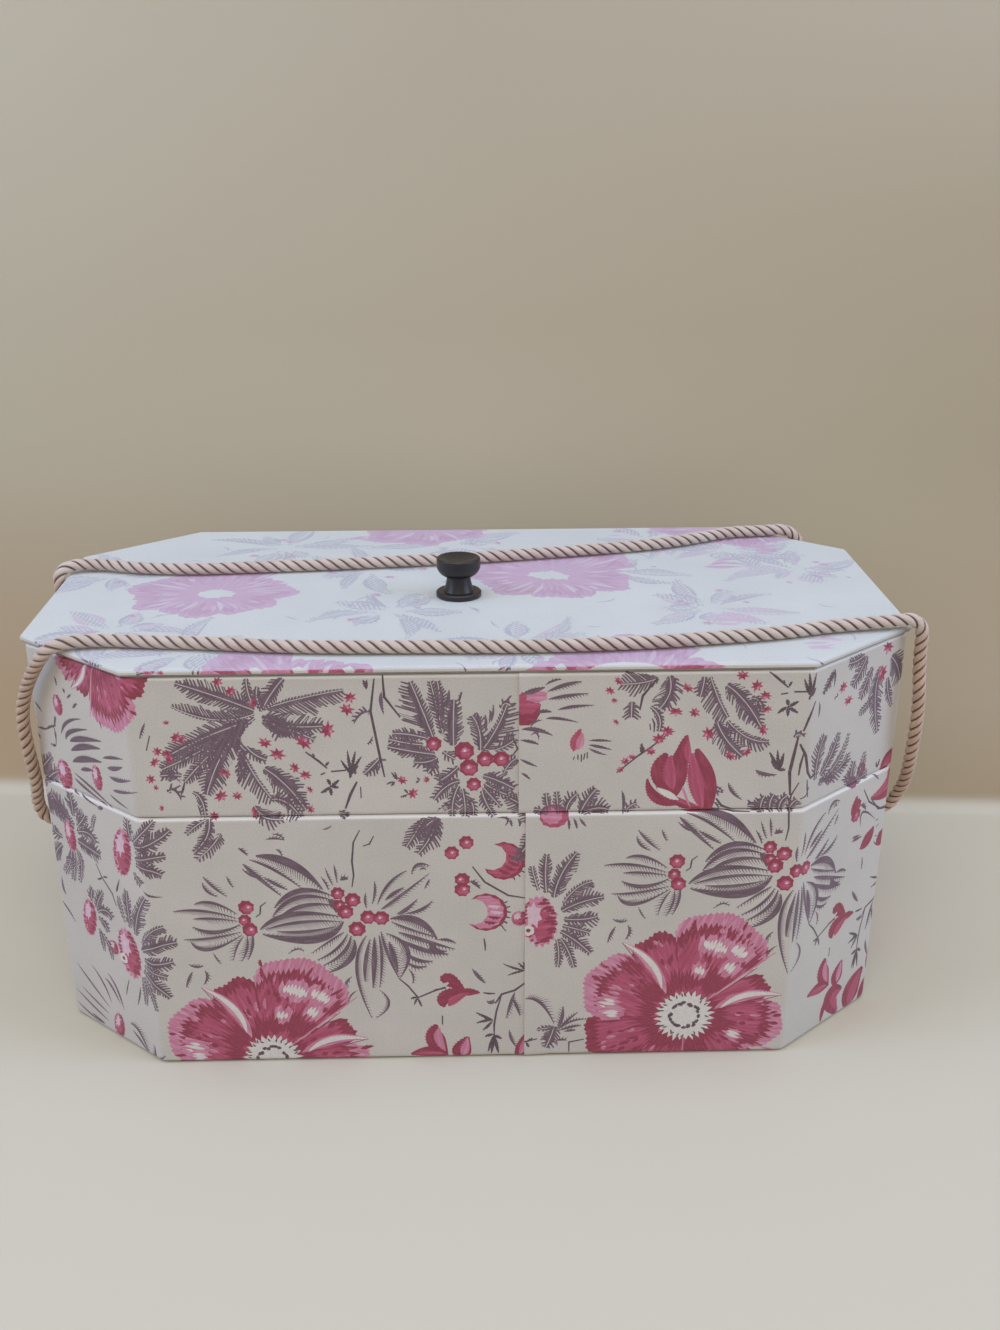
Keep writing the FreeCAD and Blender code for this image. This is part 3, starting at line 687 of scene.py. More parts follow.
left_motifs = {
    "leaves": (
        (-91.5, 178, -106.5, 184.5, -124, 191, 5, 5.4, 0.5),
        (-91.5, 176.5, -108.5, 174, -126.5, 180.5, 0.5, 5, 0.2),
        (-94.5, 173, -114, 165.5, -131, 156.5, 6, 5.5, 0.5),
        (-101, 168, -117.5, 158.5, -133, 151, 3.5, 5, 0.3),
        (-96, 171, -111, 158.5, -123.5, 145, 4.5, 3, 0.25),
        (-99.5, 168, -108.5, 154, -114.5, 138.5, 6, 6.5, 0.6),
        (-91.5, 174.5, -99, 166, -95, 158.5, 1, 3.5, 0.75),
        (-96, 161.5, -92.5, 157.5, -87.5, 155, 2.4, 2.6, 0.55),
        (-98, 159.5, -98, 152, -99, 144.5, 1.8, 2.8, 0.6),
        (-98, 159.5, -93.5, 148, -86, 135.5, 0.8, 6.5, 0.2),
        (-87, 136, -80.5, 134.5, -74.5, 127, 4.6, 6, 0.3), (-89, 151, -80, 142.5, -72, 130.5, 5.5, 6, 0.6),
        (-94, 193, -93.5, 186, -91.5, 179.5, 2, 2.6, 0.4),
        (-89.5, 189, -90, 183.5, -88, 177.5, 2.4, 1.4, 0.8),
        (-78.5, 192.5, -84, 185.5, -88, 178.5, 3, 4.6, 0.5),
        (-86.5, 179, -71, 183.5, -53.5, 187, 0.9, 7.5, 0.3),
        (-88.5, 173, -77, 170.5, -62.5, 170.5, 6.5, 4.5, 0.45),
        (-88.5, 174, -84, 172, -80.5, 165, 5.5, 5, 0.85), (-82, 170.5, -75, 168, -66.5, 164, 3, 3.6, 0.3),
        (-131, 140, -128.5, 140.5, -126, 136, 3, 3, 0.5),
        (-124.5, 148, -128.5, 148.5, -134, 148, 2.8, 2.8, 0.4),
        (-120.5, 140, -117, 136, -116, 128, 1.6, 1.6, 0.6),
        (-94.5, 133, -89.5, 127.5, -81.5, 126.5, 5, 4, 0.3),
        (-42.5, 176, -46, 175.5, -49.5, 171, 1.2, 2.6, 0.4),
        (-39.5, 155, -42.5, 151.5, -46.5, 147.5, 3.4, 1.4, 0.6),
        (-39.5, 155.5, -38.5, 155, -37, 155, 0.8, 0.8, 0.6),
        (-58, 129.5, -56, 128.5, -54.5, 127, 1.6, 1.6, 0.8),
        (-16, 163.5, -20.5, 177, -25.5, 190.5, 9, 2.6, 0.45),
        (-12, 166.5, -14.5, 179, -17, 190.5, 2.6, 3.4, 0.3),
        (-13.5, 171, -13, 181.5, -14, 190.5, 2, 2.5, 0.5), (-7.5, 160.5, -7.5, 171, -7, 182, 6, 4, 0.6),
        (4, 158, 3.5, 167.5, 0.5, 174.5, 3.4, 3.4, 0.5), (4.5, 158, 10.5, 167.5, 15.5, 179.5, 1.6, 7.5, 0.45),
        (13, 177.5, 15, 180, 18, 177.5, 2.6, 2.6, 0.4), (10, 158, 15.5, 160.5, 19, 163.5, 4.2, 2, 0.25),
        (-18.5, 164, -26.5, 166, -33.5, 166.5, 2.4, 2.4, 0.5),
        (-20.5, 161, -27.5, 162, -35.5, 164, 2.4, 3, 0.45), (-15.5, 156.5, -25, 158, -36, 160.5, 3, 3.4, 0.7),
        (-14.5, 155, -19, 153, -25, 153, 3, 4, 0.6), (-15, 154, -16.5, 151, -19, 147.5, 3, 3, 0.45),
        (-5.5, 150.5, -10.5, 146, -14.5, 143.5, 3.4, 3.4, 0.55),
        (-5, 143.5, -11, 141, -16.5, 134.5, 4, 3.4, 0.5),
        (-5.5, 141.5, -8, 134.5, -8.5, 126.5, 2.4, 2.4, 0.5), (-4, 140, -3, 133, -3, 126.5, 2.8, 2.4, 0.4),
        (-2, 135.5, 0.5, 132, 0.5, 126.5, 1.8, 1.8, 0.5), (5, 146, 11.5, 143.5, 19, 139.5, 3.8, 4.6, 0.6),
        (5.5, 142.5, 11.5, 138.5, 19, 135.5, 2, 2.4, 0.3), (5, 140.5, 8.5, 136, 13, 130.5, 2, 1.6, 0.5),
        (4.5, 139, 6.5, 132.5, 10, 126.5, 2, 2.4, 0.4), (14, 147, 16.5, 151.5, 19.5, 154, 2.2, 2.4, 0.25),
        (-12, 158, -10, 156, -6.5, 154, 3.6, 2.4, 0.2), (-15, 126, -19.5, 122.5, -24.5, 117, 4, 3.6, 0.4),
        (-15, 126, -16, 121.5, -20, 116.5, 3, 3, 0.4),
        (-12.5, 129.5, -10.5, 132, -15.5, 128.5, 1.2, 1.2, 0.5),
        (-114, 127.5, -115.5, 118.5, -122, 110.5, 2.6, 2.6, 0.7),
        (-110, 120, -113, 114.5, -121, 106.5, 3, 4.4, 0.1),
        (-115, 127, -120, 123.5, -124.5, 119.5, 1.5, 2, 0.3),
        (-20.5, 126, -24.5, 119, -29, 111.5, 3.6, 3.4, 0.35), (-15.5, 125.5, -18, 117, -24, 108, 4.4, 4, 0.4),
        (-196.5, 111, -202.5, 116, -209, 121.5, 5, 4.5, 0.5),
        (-193, 113.5, -193, 119.5, -193.5, 125.5, 4, 4, 0.5),
        (-192, 101.5, -183, 100, -175.5, 99, 5, 4.6, 0.65),
        (-191.5, 106, -183, 108, -178, 104.5, 4.6, 4, 0.5), (-191, 109, -186, 114, -184, 117, 3.6, 3, 0.5),
        (-191, 111.5, -189, 115, -188, 119.5, 1.6, 1.4, 0.4),
        (-179, 111, -178, 115.5, -175.5, 119.5, 1, 1, 0.4),
        (-198.5, 95, -200.5, 87.5, -206.5, 80, 2.6, 2.6, 0.2),
        (-196, 96, -197.5, 86.5, -200, 78, 2, 2.4, 0.2),
        (-194.5, 96.5, -191.5, 89.5, -195, 78.5, 1.6, 2.6, 0.4),
        (-205, 95, -210, 90.5, -213.5, 84.5, 3.6, 3.6, 0.4),
        (-204, 99.5, -208, 100, -211.5, 101.5, 3.6, 3.6, 0.35),
        (-150.5, 115, -152, 119, -152, 125.5, 3, 3, 0.5), (-150, 114, -143, 121, -138, 126.5, 2.4, 2, 0.4),
        (-149.5, 112.5, -140.5, 115, -131, 122, 4.6, 3, 0.6),
        (-149, 109, -145.5, 111, -142.5, 111, 1.4, 1.4, 0.4),
        (-149.5, 106, -143, 107.5, -134, 109, 3.4, 2.8, 0.6),
        (-149.5, 103.5, -142.5, 102, -136.5, 99.5, 3.2, 3, 0.6),
        (-151.5, 99, -149.5, 96, -147, 94, 2.4, 2, 0.45), (-184, 68.5, -181.5, 74, -177, 80, 2.8, 2, 0.55),
        (-186.5, 71.5, -187, 75, -185, 79, 2.6, 2, 0.5), (-183.5, 67, -177, 70, -172, 67.5, 2.8, 3.2, 0.6),
        (-183.5, 64, -179, 62, -177, 58.5, 2.4, 2.4, 0.5), (-184, 58, -182.5, 52, -182, 46.5, 1.4, 1.4, 0.5),
        (-183.5, 56.5, -177.5, 51, -176.5, 44, 1.8, 1.6, 0.4),
    ),
    "plum": (
        (-133.5, 148.5, -129.5, 148.5, -125, 144.5, 1, 2.4), (-119, 134, -118, 131, -118, 128, 0.9, 0.5),
        (-42, 165.5, -43, 163, -44.5, 162, 0.9, 0.9), (-37.5, 186, -38, 181.5, -37, 175.5, 1.6, 0.5),
        (-10.5, 177.5, -9.5, 181.5, -9, 186.5, 1.6, 0.6), (-5, 180, -4.5, 183, -3.5, 185.5, 1.1, 0.5),
        (4, 166.5, 3.5, 172, 2.5, 176, 1.6, 0.6), (6, 166.5, 6.5, 171, 6, 175, 1.2, 0.5),
        (7.5, 170.5, 8.5, 174.5, 8, 177, 1.2, 0.5), (8.5, 171, 9.5, 175.5, 9.5, 179.5, 1, 0.4),
        (11, 125.5, 15.5, 125, 14.5, 121.5, 1.2, 0.6), (17, 125, 17, 123, 17.5, 121, 1.1, 0.5),
        (20, 125, 21, 123, 20.5, 121, 1.1, 0.5), (-65.5, 121, -63, 121.5, -61, 123, 0.8, 0.3),
        (-195.5, 154.5, -190, 161.5, -179, 166, 1.7, 0.5), (-192.5, 152.5, -188, 157.5, -175, 162, 2.2, 0.6),
        (-189.5, 152.5, -180.5, 156, -165.5, 159, 2.8, 0.8),
        (-189.5, 148, -179.5, 152.5, -167, 155, 3.2, 0.8),
        (-189.5, 142.5, -179.5, 146.5, -167, 148.5, 3.2, 0.8),
        (-184, 140, -179.5, 141.5, -173.5, 142.5, 2, 0.6), (-166, 151, -159, 153, -151, 154.5, 1.6, 0.5),
        (-163.5, 147, -158, 148, -152, 150.5, 2.2, 0.8), (-162.5, 143, -156, 143, -147, 145.5, 2, 1),
        (-161, 137, -155.5, 137.5, -144, 140.5, 1.5, 0.8), (-189.5, 137, -177, 133, -162.5, 127.5, 1.4, 0.6),
        (-189.5, 134.5, -182, 131.5, -166, 127.5, 1.6, 0.5),
        (-185.5, 128.5, -180.5, 126, -171, 124.5, 1.2, 0.4), (-164, 134, -158, 132, -151, 130.5, 1.1, 0.4),
        (-191.5, 129.5, -189.5, 127.5, -186, 126.5, 1.2, 0.4),
        (-217.5, 139, -216, 133, -208.5, 130, 1.8, 0.5), (-173, 124, -171, 124.5, -169, 125, 2, 0.8),
        (-184.5, 170, -182.5, 171.5, -180, 173, 0.8, 0.4), (-138, 173, -139.5, 169.5, -141, 165.5, 1, 1.4),
        (-146, 91.5, -143, 89, -137.5, 88.5, 1.1, 0.5), (-156.5, 37, -158, 31.5, -160.5, 25.5, 1.1, 0.5),
        (-172, 18, -176, 28.5, -182, 34.5, 1.4, 0.7), (-174.5, 20.5, -180, 28, -184.5, 30.5, 1.6, 0.9),
        (-181.5, 17.5, -186.5, 27, -194.5, 34, 1.2, 0.6), (-183.5, 14.5, -196.5, 23, -207, 30.5, 1.2, 0.6),
        (-185, 10.5, -195.5, 14, -205, 17.5, 1.1, 0.5), (-186, 6, -199, 10, -210.5, 14.5, 1.2, 0.5),
        (-195, 2.5, -204, 4.5, -211, 7, 1.1, 0.5), (-189.5, 3, -194.5, 3.5, -199.5, 5, 1.8, 0.8),
        (-167, 9, -161.5, 5.5, -156.5, 1, 1.6, 0.6), (-213, 63, -207.5, 59, -203, 54, 1.2, 0.6),
        (-209.5, 77, -209.5, 70.5, -208, 67.5, 1.6, 0.8),
    ),
    "stems": (
        (1.1, -123.5, 145, -124.5, 141.5, -125.5, 139),
        (1.2, -40.5, 192, -42.5, 177, -39.5, 157.5, -37.5, 146), (1.2, -37, 194, -36.5, 183.5, -30, 174),
        (1.1, -71, 158.5, -65.5, 154, -62, 150.5), (1.2, -65, 147.5, -63, 148.5),
        (1.3, -60.5, 149, -54, 149.5), (1.4, -49.5, 144, -52.5, 138, -55, 131), (0.9, -48, 141.5, -48, 136),
        (0.9, 17, 154.5, 20, 158.5, 18, 163.5), (0.9, -214, 153, -208, 153.5, -199.5, 157.5, -199.5, 162),
        (0.9, -201, 156.5, -200, 153, -201, 147.5), (0.9, -136.5, 167, -138.5, 160),
        (1, -180, 93.5, -176.5, 87.5, -170, 81.5, -168, 75.5), (0.8, -165, 37.5, -167, 32.5, -168.5, 28),
    ),
    "tufts": (
        (1, -63, 151.5, -61, 153.5), (1, -67.5, 155.5, -67.5, 157.5),
        (1.3, -52, 147.5, -56, 154.5, -53, 159, -49.5, 158.5, -47, 156, -48.5, 151.5),
        (1.8, -51.5, 150.5, -52.5, 145.5, -50, 147.5),
        (1.5, -61, 142, -65.5, 139, -62, 145.5, -61, 137.5, -57, 145, -57.5, 141),
        (1.2, -44, 187, -45, 191.5, -43.5, 191.5), (0.9, -32, 144.5, -34.5, 148.5, -33, 148.5),
        (0.9, -33, 143.5, -37, 142.5, -35, 142), (0.9, -22.5, 144, -24, 143.5, -23, 145.5),
        (0.9, -27.5, 137.5, -29, 140, -31, 136.5), (1.4, -204, 146.5, -205, 147, -201, 147),
        (0.9, -176, 88, -180.5, 85.5, -172, 89), (1, -167, 83.5, -164.5, 87.5, -163, 91.5),
    ),
    "florets": (
        (-125.5, 166, 3.4), (-130, 158, 3.4), (-135.5, 154.5, 3), (-134, 159.5, 2.6), (-138, 146.5, 2.6),
        (-136, 142.5, 1.6), (-129, 173, 1.8), (-106, 191.5, 3), (-101, 187, 3), (-51, 183.5, 3.2),
        (-52.5, 178, 3.8), (-61, 168.5, 4.6), (-71.5, 163, 4.6), (-88, 163, 3.4), (-83, 157.5, 3.8),
        (-76, 151, 3), (-71.5, 147.5, 3.2), (-70, 140.5, 2.2), (-70, 131, 2.4), (-106, 149, 3.4),
        (-108.5, 138, 3.8), (-101.5, 138, 2.6), (-112, 128.5, 2.6), (-134.5, 132.5, 1.8), (-94.5, 130, 3),
        (-92, 181.5, 2.8), (-123, 165, 2.4), (-129, 156, 2.6), (-30, 144.5, 2.8), (-19.5, 144.5, 2),
        (-25.5, 138, 3),
    ),
    "berries": (
        (-16, 161.5, 3.4), (-3, 158, 4.4), (-1, 150, 4.1), (6, 154, 3.7), (13, 154, 3.7), (1, 142, 3.2),
    ),
    "ovals": (
        (-197, 134, 5.5, 7.2, 0.05), (-172, 139.5, 3.6, 6.2, 0.05), (-195.5, 168.5, 3.4, 5, 0.1),
        (-197.5, 102, 4, 8, 0.1), (-158.5, 106.5, 6.2, 12.4, -0.22), (-190.5, 61.5, 5, 10.2, -0.2),
        (-177.5, 7, 4, 7.2, -0.15),
    ),
}
right_motifs = {
    "plum": (
        (22, 184.5, 26.5, 185.5, 31.5, 187, 2.4, 0.6), (31.5, 188, 35, 190, 38.5, 190.5, 1.1, 0.7),
        (32.5, 185, 40, 188, 47, 189.5, 1.9, -1.6), (33, 181.5, 41, 183, 50, 184, 1.7, -1.8),
        (37, 176.5, 43.5, 178, 52.5, 178.5, 1.5, -0.9), (28, 175.5, 31, 176, 34.5, 175.5, 1.7, 0.4),
        (32, 172.5, 37.5, 172.5, 46, 170.5, 1.4, 0.3), (21.5, 168, 28, 167.5, 35, 164.5, 2, 0.4),
        (21, 163, 25.5, 162, 29, 160.5, 1.5, 0.4), (21, 154, 24.5, 152, 28.5, 150, 1.3, 0.3),
        (21.5, 147.5, 23.5, 146, 25.5, 144, 1.2, 0.3), (25.5, 169, 27, 171, 30.5, 172, 1, 1),
        (25.5, 165, 28, 166, 29, 162.5, 0.9, 0.9), (50.5, 162, 55.5, 162, 60.5, 161.5, 1.2, 0.3),
        (50.5, 160, 55, 159, 60.5, 157.5, 1.4, 0.3), (50.5, 158.5, 54, 156.5, 58.5, 155, 1.2, 0.3),
        (42, 125, 42.5, 122, 42.5, 119, 1.2, 0.4), (44.5, 125, 45.5, 122, 46, 119.5, 1.2, 0.4),
        (47, 125, 48.5, 122.5, 50, 120.5, 1.2, 0.4), (65.5, 138, 66.5, 132.5, 66, 126.5, 1.4, 0.3),
        (123.5, 147, 127, 145, 133, 144.5, 1.9, -1.2), (106, 140, 107, 137, 108, 134.5, 1.1, 0.3),
        (112, 141, 114, 136.5, 118.5, 132.5, 1.5, 1.5), (151, 177.5, 151.5, 173.5, 151, 170, 1.1, 0.4),
        (192.5, 102.5, 193.5, 109.5, 204.5, 102, 1.2, 0.4), (186.5, 98.5, 189, 98, 192.5, 98, 1.4, 0.3),
    ),
    "rose": (
        (44, 157, 45, 162, 47, 167.5, 4.6, 0.5), (88, 138, 86, 146, 86.5, 154.5, 5.5, 1.2),
        (101, 128.5, 97.5, 142.5, 95.5, 155.5, 6.5, 1.2), (94, 151, 93.5, 156.5, 93.5, 161.5, 3, 0.8),
        (100, 129.5, 92, 132.5, 83, 137.5, 2, 0.5), (200, 115.5, 210.5, 118.5, 210.5, 125.5, 5, 0.6),
        (207.5, 129, 213.5, 132, 219, 134.5, 4, 0.6),
    ),
    "rose_light": (
        (46, 157.5, 47, 161.5, 48, 165.5, 3.4, 0.5), (92, 139.5, 93, 136, 96, 129, 1.2, 0.4),
    ),
    "stems": (
        (1, 50, 156.5, 50, 153.5), (1, 49, 156, 48.5, 153), (1, 47.5, 155.5, 47.5, 152),
        (1, 46, 155.5, 46, 153), (0.9, 44.5, 154.5, 44, 153),
        (0.9, 63, 146.5, 72, 154.5, 77.5, 158.5, 85.5, 165.5), (1.2, 79, 190.5, 73, 182.5, 72, 176),
        (0.9, 77.5, 172, 78.5, 169.5, 78.5, 165.5), (0.9, 76.5, 169.5, 77, 166.5),
        (1.2, 126.5, 193, 130.5, 189.5, 135, 185.5), (1.2, 132, 182.5, 135, 183),
        (1.4, 137.5, 183.5, 145, 183.5), (1.3, 148, 178.5, 145, 171, 143, 165),
        (1.6, 141, 162.5, 139.5, 152.5, 138.5, 145.5, 139.5, 134.5),
        (1.6, 142, 159, 145, 153.5, 147, 145, 149.5, 141.5, 153, 142.5),
        (1.1, 144, 154.5, 143, 149.5, 142.5, 144), (1.1, 147, 141.5, 147.5, 137.5, 148.5, 132.5),
        (1.3, 107, 133.5, 109.5, 130, 114.5, 127.5, 122, 127), (1.1, 199, 114.5, 206, 107, 218.5, 106),
    ),
    "florets": (
        (59, 185, 2.6), (61, 180.5, 1.8), (62, 170.5, 2), (62.5, 189.5, 2.6), (84.5, 165.5, 3.2),
        (80.5, 162.5, 3.4), (77.5, 156.5, 2.8), (69.5, 154, 2.4), (66.5, 152, 2.4), (64.5, 148, 2.2),
        (92, 186, 3.4), (87.5, 175, 3.8), (95.5, 174.5, 2.8), (121.5, 186.5, 3.2), (125.5, 182, 3.2),
        (126.5, 175.5, 2.6), (125.5, 166, 3.2), (102, 164.5, 3.8), (112, 154, 3.4), (119, 155.5, 3),
        (84, 166, 3), (81, 162.5, 3), (115, 191.5, 3.2), (198, 178, 5), (200.5, 190, 5), (168, 179.5, 3.4),
        (173, 172, 3.6),
    ),
    "tufts": (
        (1.6, 73.5, 155, 73.5, 160.5, 74.5, 158.5), (1, 135, 185.5, 136.5, 188), (1, 133, 187.5, 133, 189),
        (1.5, 145, 181, 141.5, 189.5, 143.5, 192, 147, 192, 147.5, 185, 144, 180.5),
        (1.6, 135.5, 176.5, 131, 173.5, 135, 180, 135.5, 172, 140, 179, 140, 173.5),
        (1.5, 133.5, 146.5, 130, 151.5, 129, 155.5, 132.5, 156.5, 135.5, 155, 135.5, 153, 136.5, 146.5),
        (1.2, 161, 189, 161, 181.5, 153, 180, 156.5, 186), (0.9, 164, 176, 162, 175.5, 164.5, 177),
        (1.3, 173, 140.5, 177.5, 140.5), (1.2, 203, 130, 201.5, 133.5, 204.5, 134),
    ),
    "leaves": (
        (79.5, 190.5, 72, 188.5, 63, 188, 4.6, 6, 0.12), (68.5, 180, 68.5, 176, 68.5, 172.5, 3.6, 3.6, 0.5),
        (84, 191.5, 84.5, 184, 80.5, 176.5, 5, 6, 0.55),
        (76.5, 177.5, 80.5, 172.5, 80.5, 165.5, 1.6, 1.4, 0.7),
        (34, 128.5, 33, 132.5, 32.5, 137.5, 1.8, 1.6, 0.5), (38, 127, 37.5, 132.5, 37, 138, 1.6, 1.4, 0.55),
        (41.5, 127, 42.5, 132.5, 46.5, 137, 3, 1.6, 0.4), (47.5, 127, 50.5, 133.5, 54.5, 139, 3.2, 3.2, 0.5),
        (48.5, 127, 54.5, 129.5, 60, 128.5, 4, 2, 0.5), (33, 127, 30, 129, 27, 129.5, 2, 1.2, 0.5),
        (67.5, 127.5, 69.5, 130.5, 72.5, 131.5, 2, 2.4, 0.3),
        (101.5, 191, 105.5, 180.5, 110, 172, 0.9, 6.5, 0.25),
        (99, 191, 98.5, 186.5, 97.5, 181.5, 2.6, 3, 0.6), (108.5, 187, 117, 179, 125, 166.5, 4.6, 5.6, 0.6),
        (105.5, 170, 110, 161.5, 117.5, 153.5, 5.6, 5.6, 0.5),
        (110, 170.5, 119, 162.5, 128.5, 160.5, 1.6, 5, 0.3), (119.5, 181, 123, 179, 124.5, 174, 2, 2.2, 0.6),
        (139.5, 162, 141, 163.5, 143.5, 162, 1.6, 1.8, 0.8),
        (126.5, 126.5, 124, 129.5, 121, 129.5, 3, 2.6, 0.6),
        (127.5, 126.5, 127, 130.5, 128.5, 134.5, 2.6, 3, 0.6),
        (131.5, 126.5, 131, 131, 132.5, 135, 2.4, 2.8, 0.6),
        (135.5, 126.5, 135.5, 131, 138.5, 134.5, 2.4, 3, 0.55),
        (139.5, 126.5, 140.5, 130, 143, 132.5, 2.4, 2.8, 0.6),
        (196.5, 182, 194.5, 168, 199.5, 148.5, 5, 5, 0.45), (189.5, 183.5, 185.5, 176.5, 182, 170, 4, 3, 0.4),
        (184.5, 190, 180.5, 184, 175, 177.5, 4, 4, 0.45), (182.5, 191, 176.5, 189.5, 170.5, 190, 3, 3, 0.5),
        (204, 184.5, 210, 178.5, 213.5, 171, 8, 7, 0.55), (203, 175, 204.5, 167.5, 209, 159, 2.4, 2, 0.5),
        (193.5, 169.5, 188.5, 165.5, 182.5, 162.5, 2.4, 2, 0.3),
        (160.5, 190, 157.5, 185.5, 153, 180, 2, 2, 0.4), (153, 139.5, 154, 151.5, 157.5, 159.5, 4, 3.4, 0.45),
        (156.5, 140.5, 163.5, 148, 168.5, 158, 3.4, 3.4, 0.5),
        (156, 138, 168.5, 142.5, 176, 155.5, 2, 3, 0.25),
        (158, 137.5, 171, 139.5, 176.5, 145, 1.2, 4.5, 0.35),
        (156.5, 135.5, 161, 137, 169, 134.5, 3, 2.4, 0.5),
        (182.5, 126.5, 181.5, 133, 182.5, 139.5, 3.2, 3.2, 0.5),
        (183.5, 126.5, 188.5, 132.5, 190.5, 142, 2, 3, 0.35),
        (181, 127.5, 179, 131.5, 177.5, 134.5, 3, 3, 0.4), (189.5, 129, 192, 129.5, 195, 130, 2, 2, 0.4),
    ),
    "rose_deep": (
        (87.5, 133, 89.5, 147, 90.5, 159.5, 9, 0.6), (90, 136.5, 83, 146, 84.5, 155.5, 10.5, 0.6),
        (104, 127, 101, 143.5, 97.5, 157.5, 10.5, 0.6), (93, 149, 92, 156.5, 93, 164, 6, 0.6),
        (102, 128.5, 92.5, 131, 80.5, 139.5, 4, 0.5), (91, 131, 80.5, 134.5, 76.5, 143.5, 4.8, 0.6),
        (198.5, 115, 213, 117, 211.5, 126.5, 9, 0.6), (205.5, 128.5, 212.5, 132.5, 220.5, 135, 7.5, 0.6),
        (186, 108.5, 186, 114, 187, 120, 5.5, 0.6), (194, 90, 200, 93.5, 204, 98.5, 7, 0.6),
        (207, 88, 212, 90.5, 216, 95, 8, 0.6),
    ),
    "white": (
        (90.5, 133, 85.5, 136, 81, 139, 3, 0.8),
    ),
}
corner_marks = ((-195, 182.5, 0.5, -4.5, 1.2), (-190, 178, 0.5, -2, 1.6), (-184, 176.5, -3.5, -2.5, 1.1),
                (-184, 170, 3.5, 3, 1.4), (-214, 166, 5.5, -4.5, 1.2), (-213.5, 153, 6.5, 0.5, 1.2),
                (-207.5, 153.5, 7.5, 4, 1.2), (-200.5, 156, 0, -7, 1), (-216, 150, 2.5, -2.5, 1.6),
                (-216.5, 154.5, 2.5, 3.5, 1), (-198, 162.5, -2.5, -5, 1.3))

# Round buds of the right-hand cloth, by centre, radius, ink, sides, teeth and squash
right_buds = ((23, 177, 7.2, "rose_deep", 24, 0.6, 0.9), (24, 180, 4.6, "rose", 16, 1.2, 1.1),
              (28, 183, 2.6, "rose_light", 12, 0.8, 1.6), (36, 126, 5.6, "rose", 24, 0.6, 1.1),
              (35, 126, 3.8, "rose_light", 18, 0.9, 1.1))


def draw_low(draw, shift):
    """Lower rows of the print: thistle, poppy, fans of pods with berries, buds and twigs."""
    draw.motifs(low_motifs, shift)
    draw.oval(complex(-162, 53) + shift, 7.9, 12.6, 0.12)
    draw.disc(complex(-167, 48.5) + shift, 2.6, "white", 12, 0.4)
    draw.disc(complex(-167, 48.5) + shift, 1.1, "rose_deep", 8)
    draw.oval(complex(-174, 51.5) + shift, 3.4, 3.8, 0)
    poppy(draw, complex(-94, 1) + shift)


def draw_left():
    """The print as it lies on the left-hand cloth."""
    draw = Drawing(41)
    draw_low(draw, 0j)
    draw.motifs(left_motifs)
    crescent(draw, complex(14, 104), 9.2, 2.7, False)
    crescent(draw, complex(6, 78), 9.4, 3.0, True)
    draw.oval(complex(21, 74.5), 3.6, 3.8, 0)
    for x, y, along, up, width in corner_marks:
        start, tip = complex(x, y), complex(x + along, y + up)
        draw.stroke(start, (start + tip) / 2 + draw.jitter(0.8), tip, width, 0.5)
    poppy(draw, complex(-164, 204), 0.68, 3.81, False)
    for x in (36, 42):
        spray(draw, complex(x, 160 - x), ((90, 26, 9), (40, 24, 9), (-20, 26, 9), (150, 22, 9), (230, 24, 9)))
    return draw.shapes


def draw_right():
    """The print as it lies on the right-hand cloth, cut a little higher from the same length."""
    draw = Drawing(57)
    draw_low(draw, complex(192, 20))
    for x, y, *bud in right_buds:
        draw.disc(complex(x, y), *bud)
    draw.motifs(right_motifs)
    return draw.shapes


def faded_poppy(draw, centre, scale, turn):
    """A poppy of the lid, drawn as one ragged pink shape with a few pale streaks, in the lid's inks paled by
    painted glare.
    """
    for start, end, reach, *_ in poppy_petals:
        middle = math.radians((start + end) / 2) + turn
        half = math.radians(end - start) / 2 * 1.04
        for part, rag, ink in ((1.0, 3.0, "rose"), (0.9, 9.0, "rose_deep"), (0.72, 12.0, "rose")):
            steps = int(2 * half * reach / faded_stroke_pitch)
            points = [centre + cmath.rect(7 * scale, middle + half * way) for way in (1, -1)]
            for i in range(steps + 1):
                across = 2 * i / steps - 1
                radius = reach * part * (1 - 0.16 * abs(across) ** 3.4 + 0.05 * math.sin(5 * across + start))
                radius -= (i % 2) * rag * draw.dice.random()
                points.append(centre + cmath.rect(radius * scale, middle + half * across))
            draw.shape(points, ink, centre, cmath.rect(1, middle))
        for share in (-0.8, -0.3, 0.2, 0.6):
            angle = middle + half * (share + draw.jitter(0.15))
            near, far = draw.dice.uniform(0.35, 0.6) * reach, draw.dice.uniform(0.7, 0.92) * reach
            ends = [centre + cmath.rect(radius * scale, angle) for radius in (near, far)]
            draw.stroke(ends[0], (ends[0] + ends[1]) / 2 + 0.8, ends[1], 2.2, 1.0,
                        draw.dice.choice(("rose_light", "rose_pale", "rose_deep")))
    for _ in range(6):
        spot = centre + complex(draw.jitter(6), draw.jitter(4)) * scale
        draw.disc(spot, draw.dice.uniform(3, 6) * scale, "ground", 13, 1.6, draw.dice.uniform(0.8, 1.4))


def faded_leaf(draw, start, middle, end, width, loose):
    """A leaf of the lid: strokes side by side that leave its outline open."""
    side = (end - start) / abs(end - start) * 1j
    for i in range(4):
        share = (i - 1.5) / 1.5
        foot = start + (middle - start) * draw.dice.uniform(0, 0.4)
        tip = end + (middle - end) * draw.dice.uniform(0, 0.45)
        bulge = middle + side * width * share * 0.6 + draw.jitter(1) * side
        ink = "plum" if draw.dice.random() > loose else "rose_light"
        broad, comb = draw.dice.uniform(1.1, 2.6), draw.dice.choice((-1.6, 1.6))
        draw.stroke(foot, bulge, tip, broad, comb, ink, faded_stroke_pitch)
    draw.leaf(start, middle, end, width * 0.5, width * 0.42, 0.12, "plum_hatched", faded_leaf_pitch)


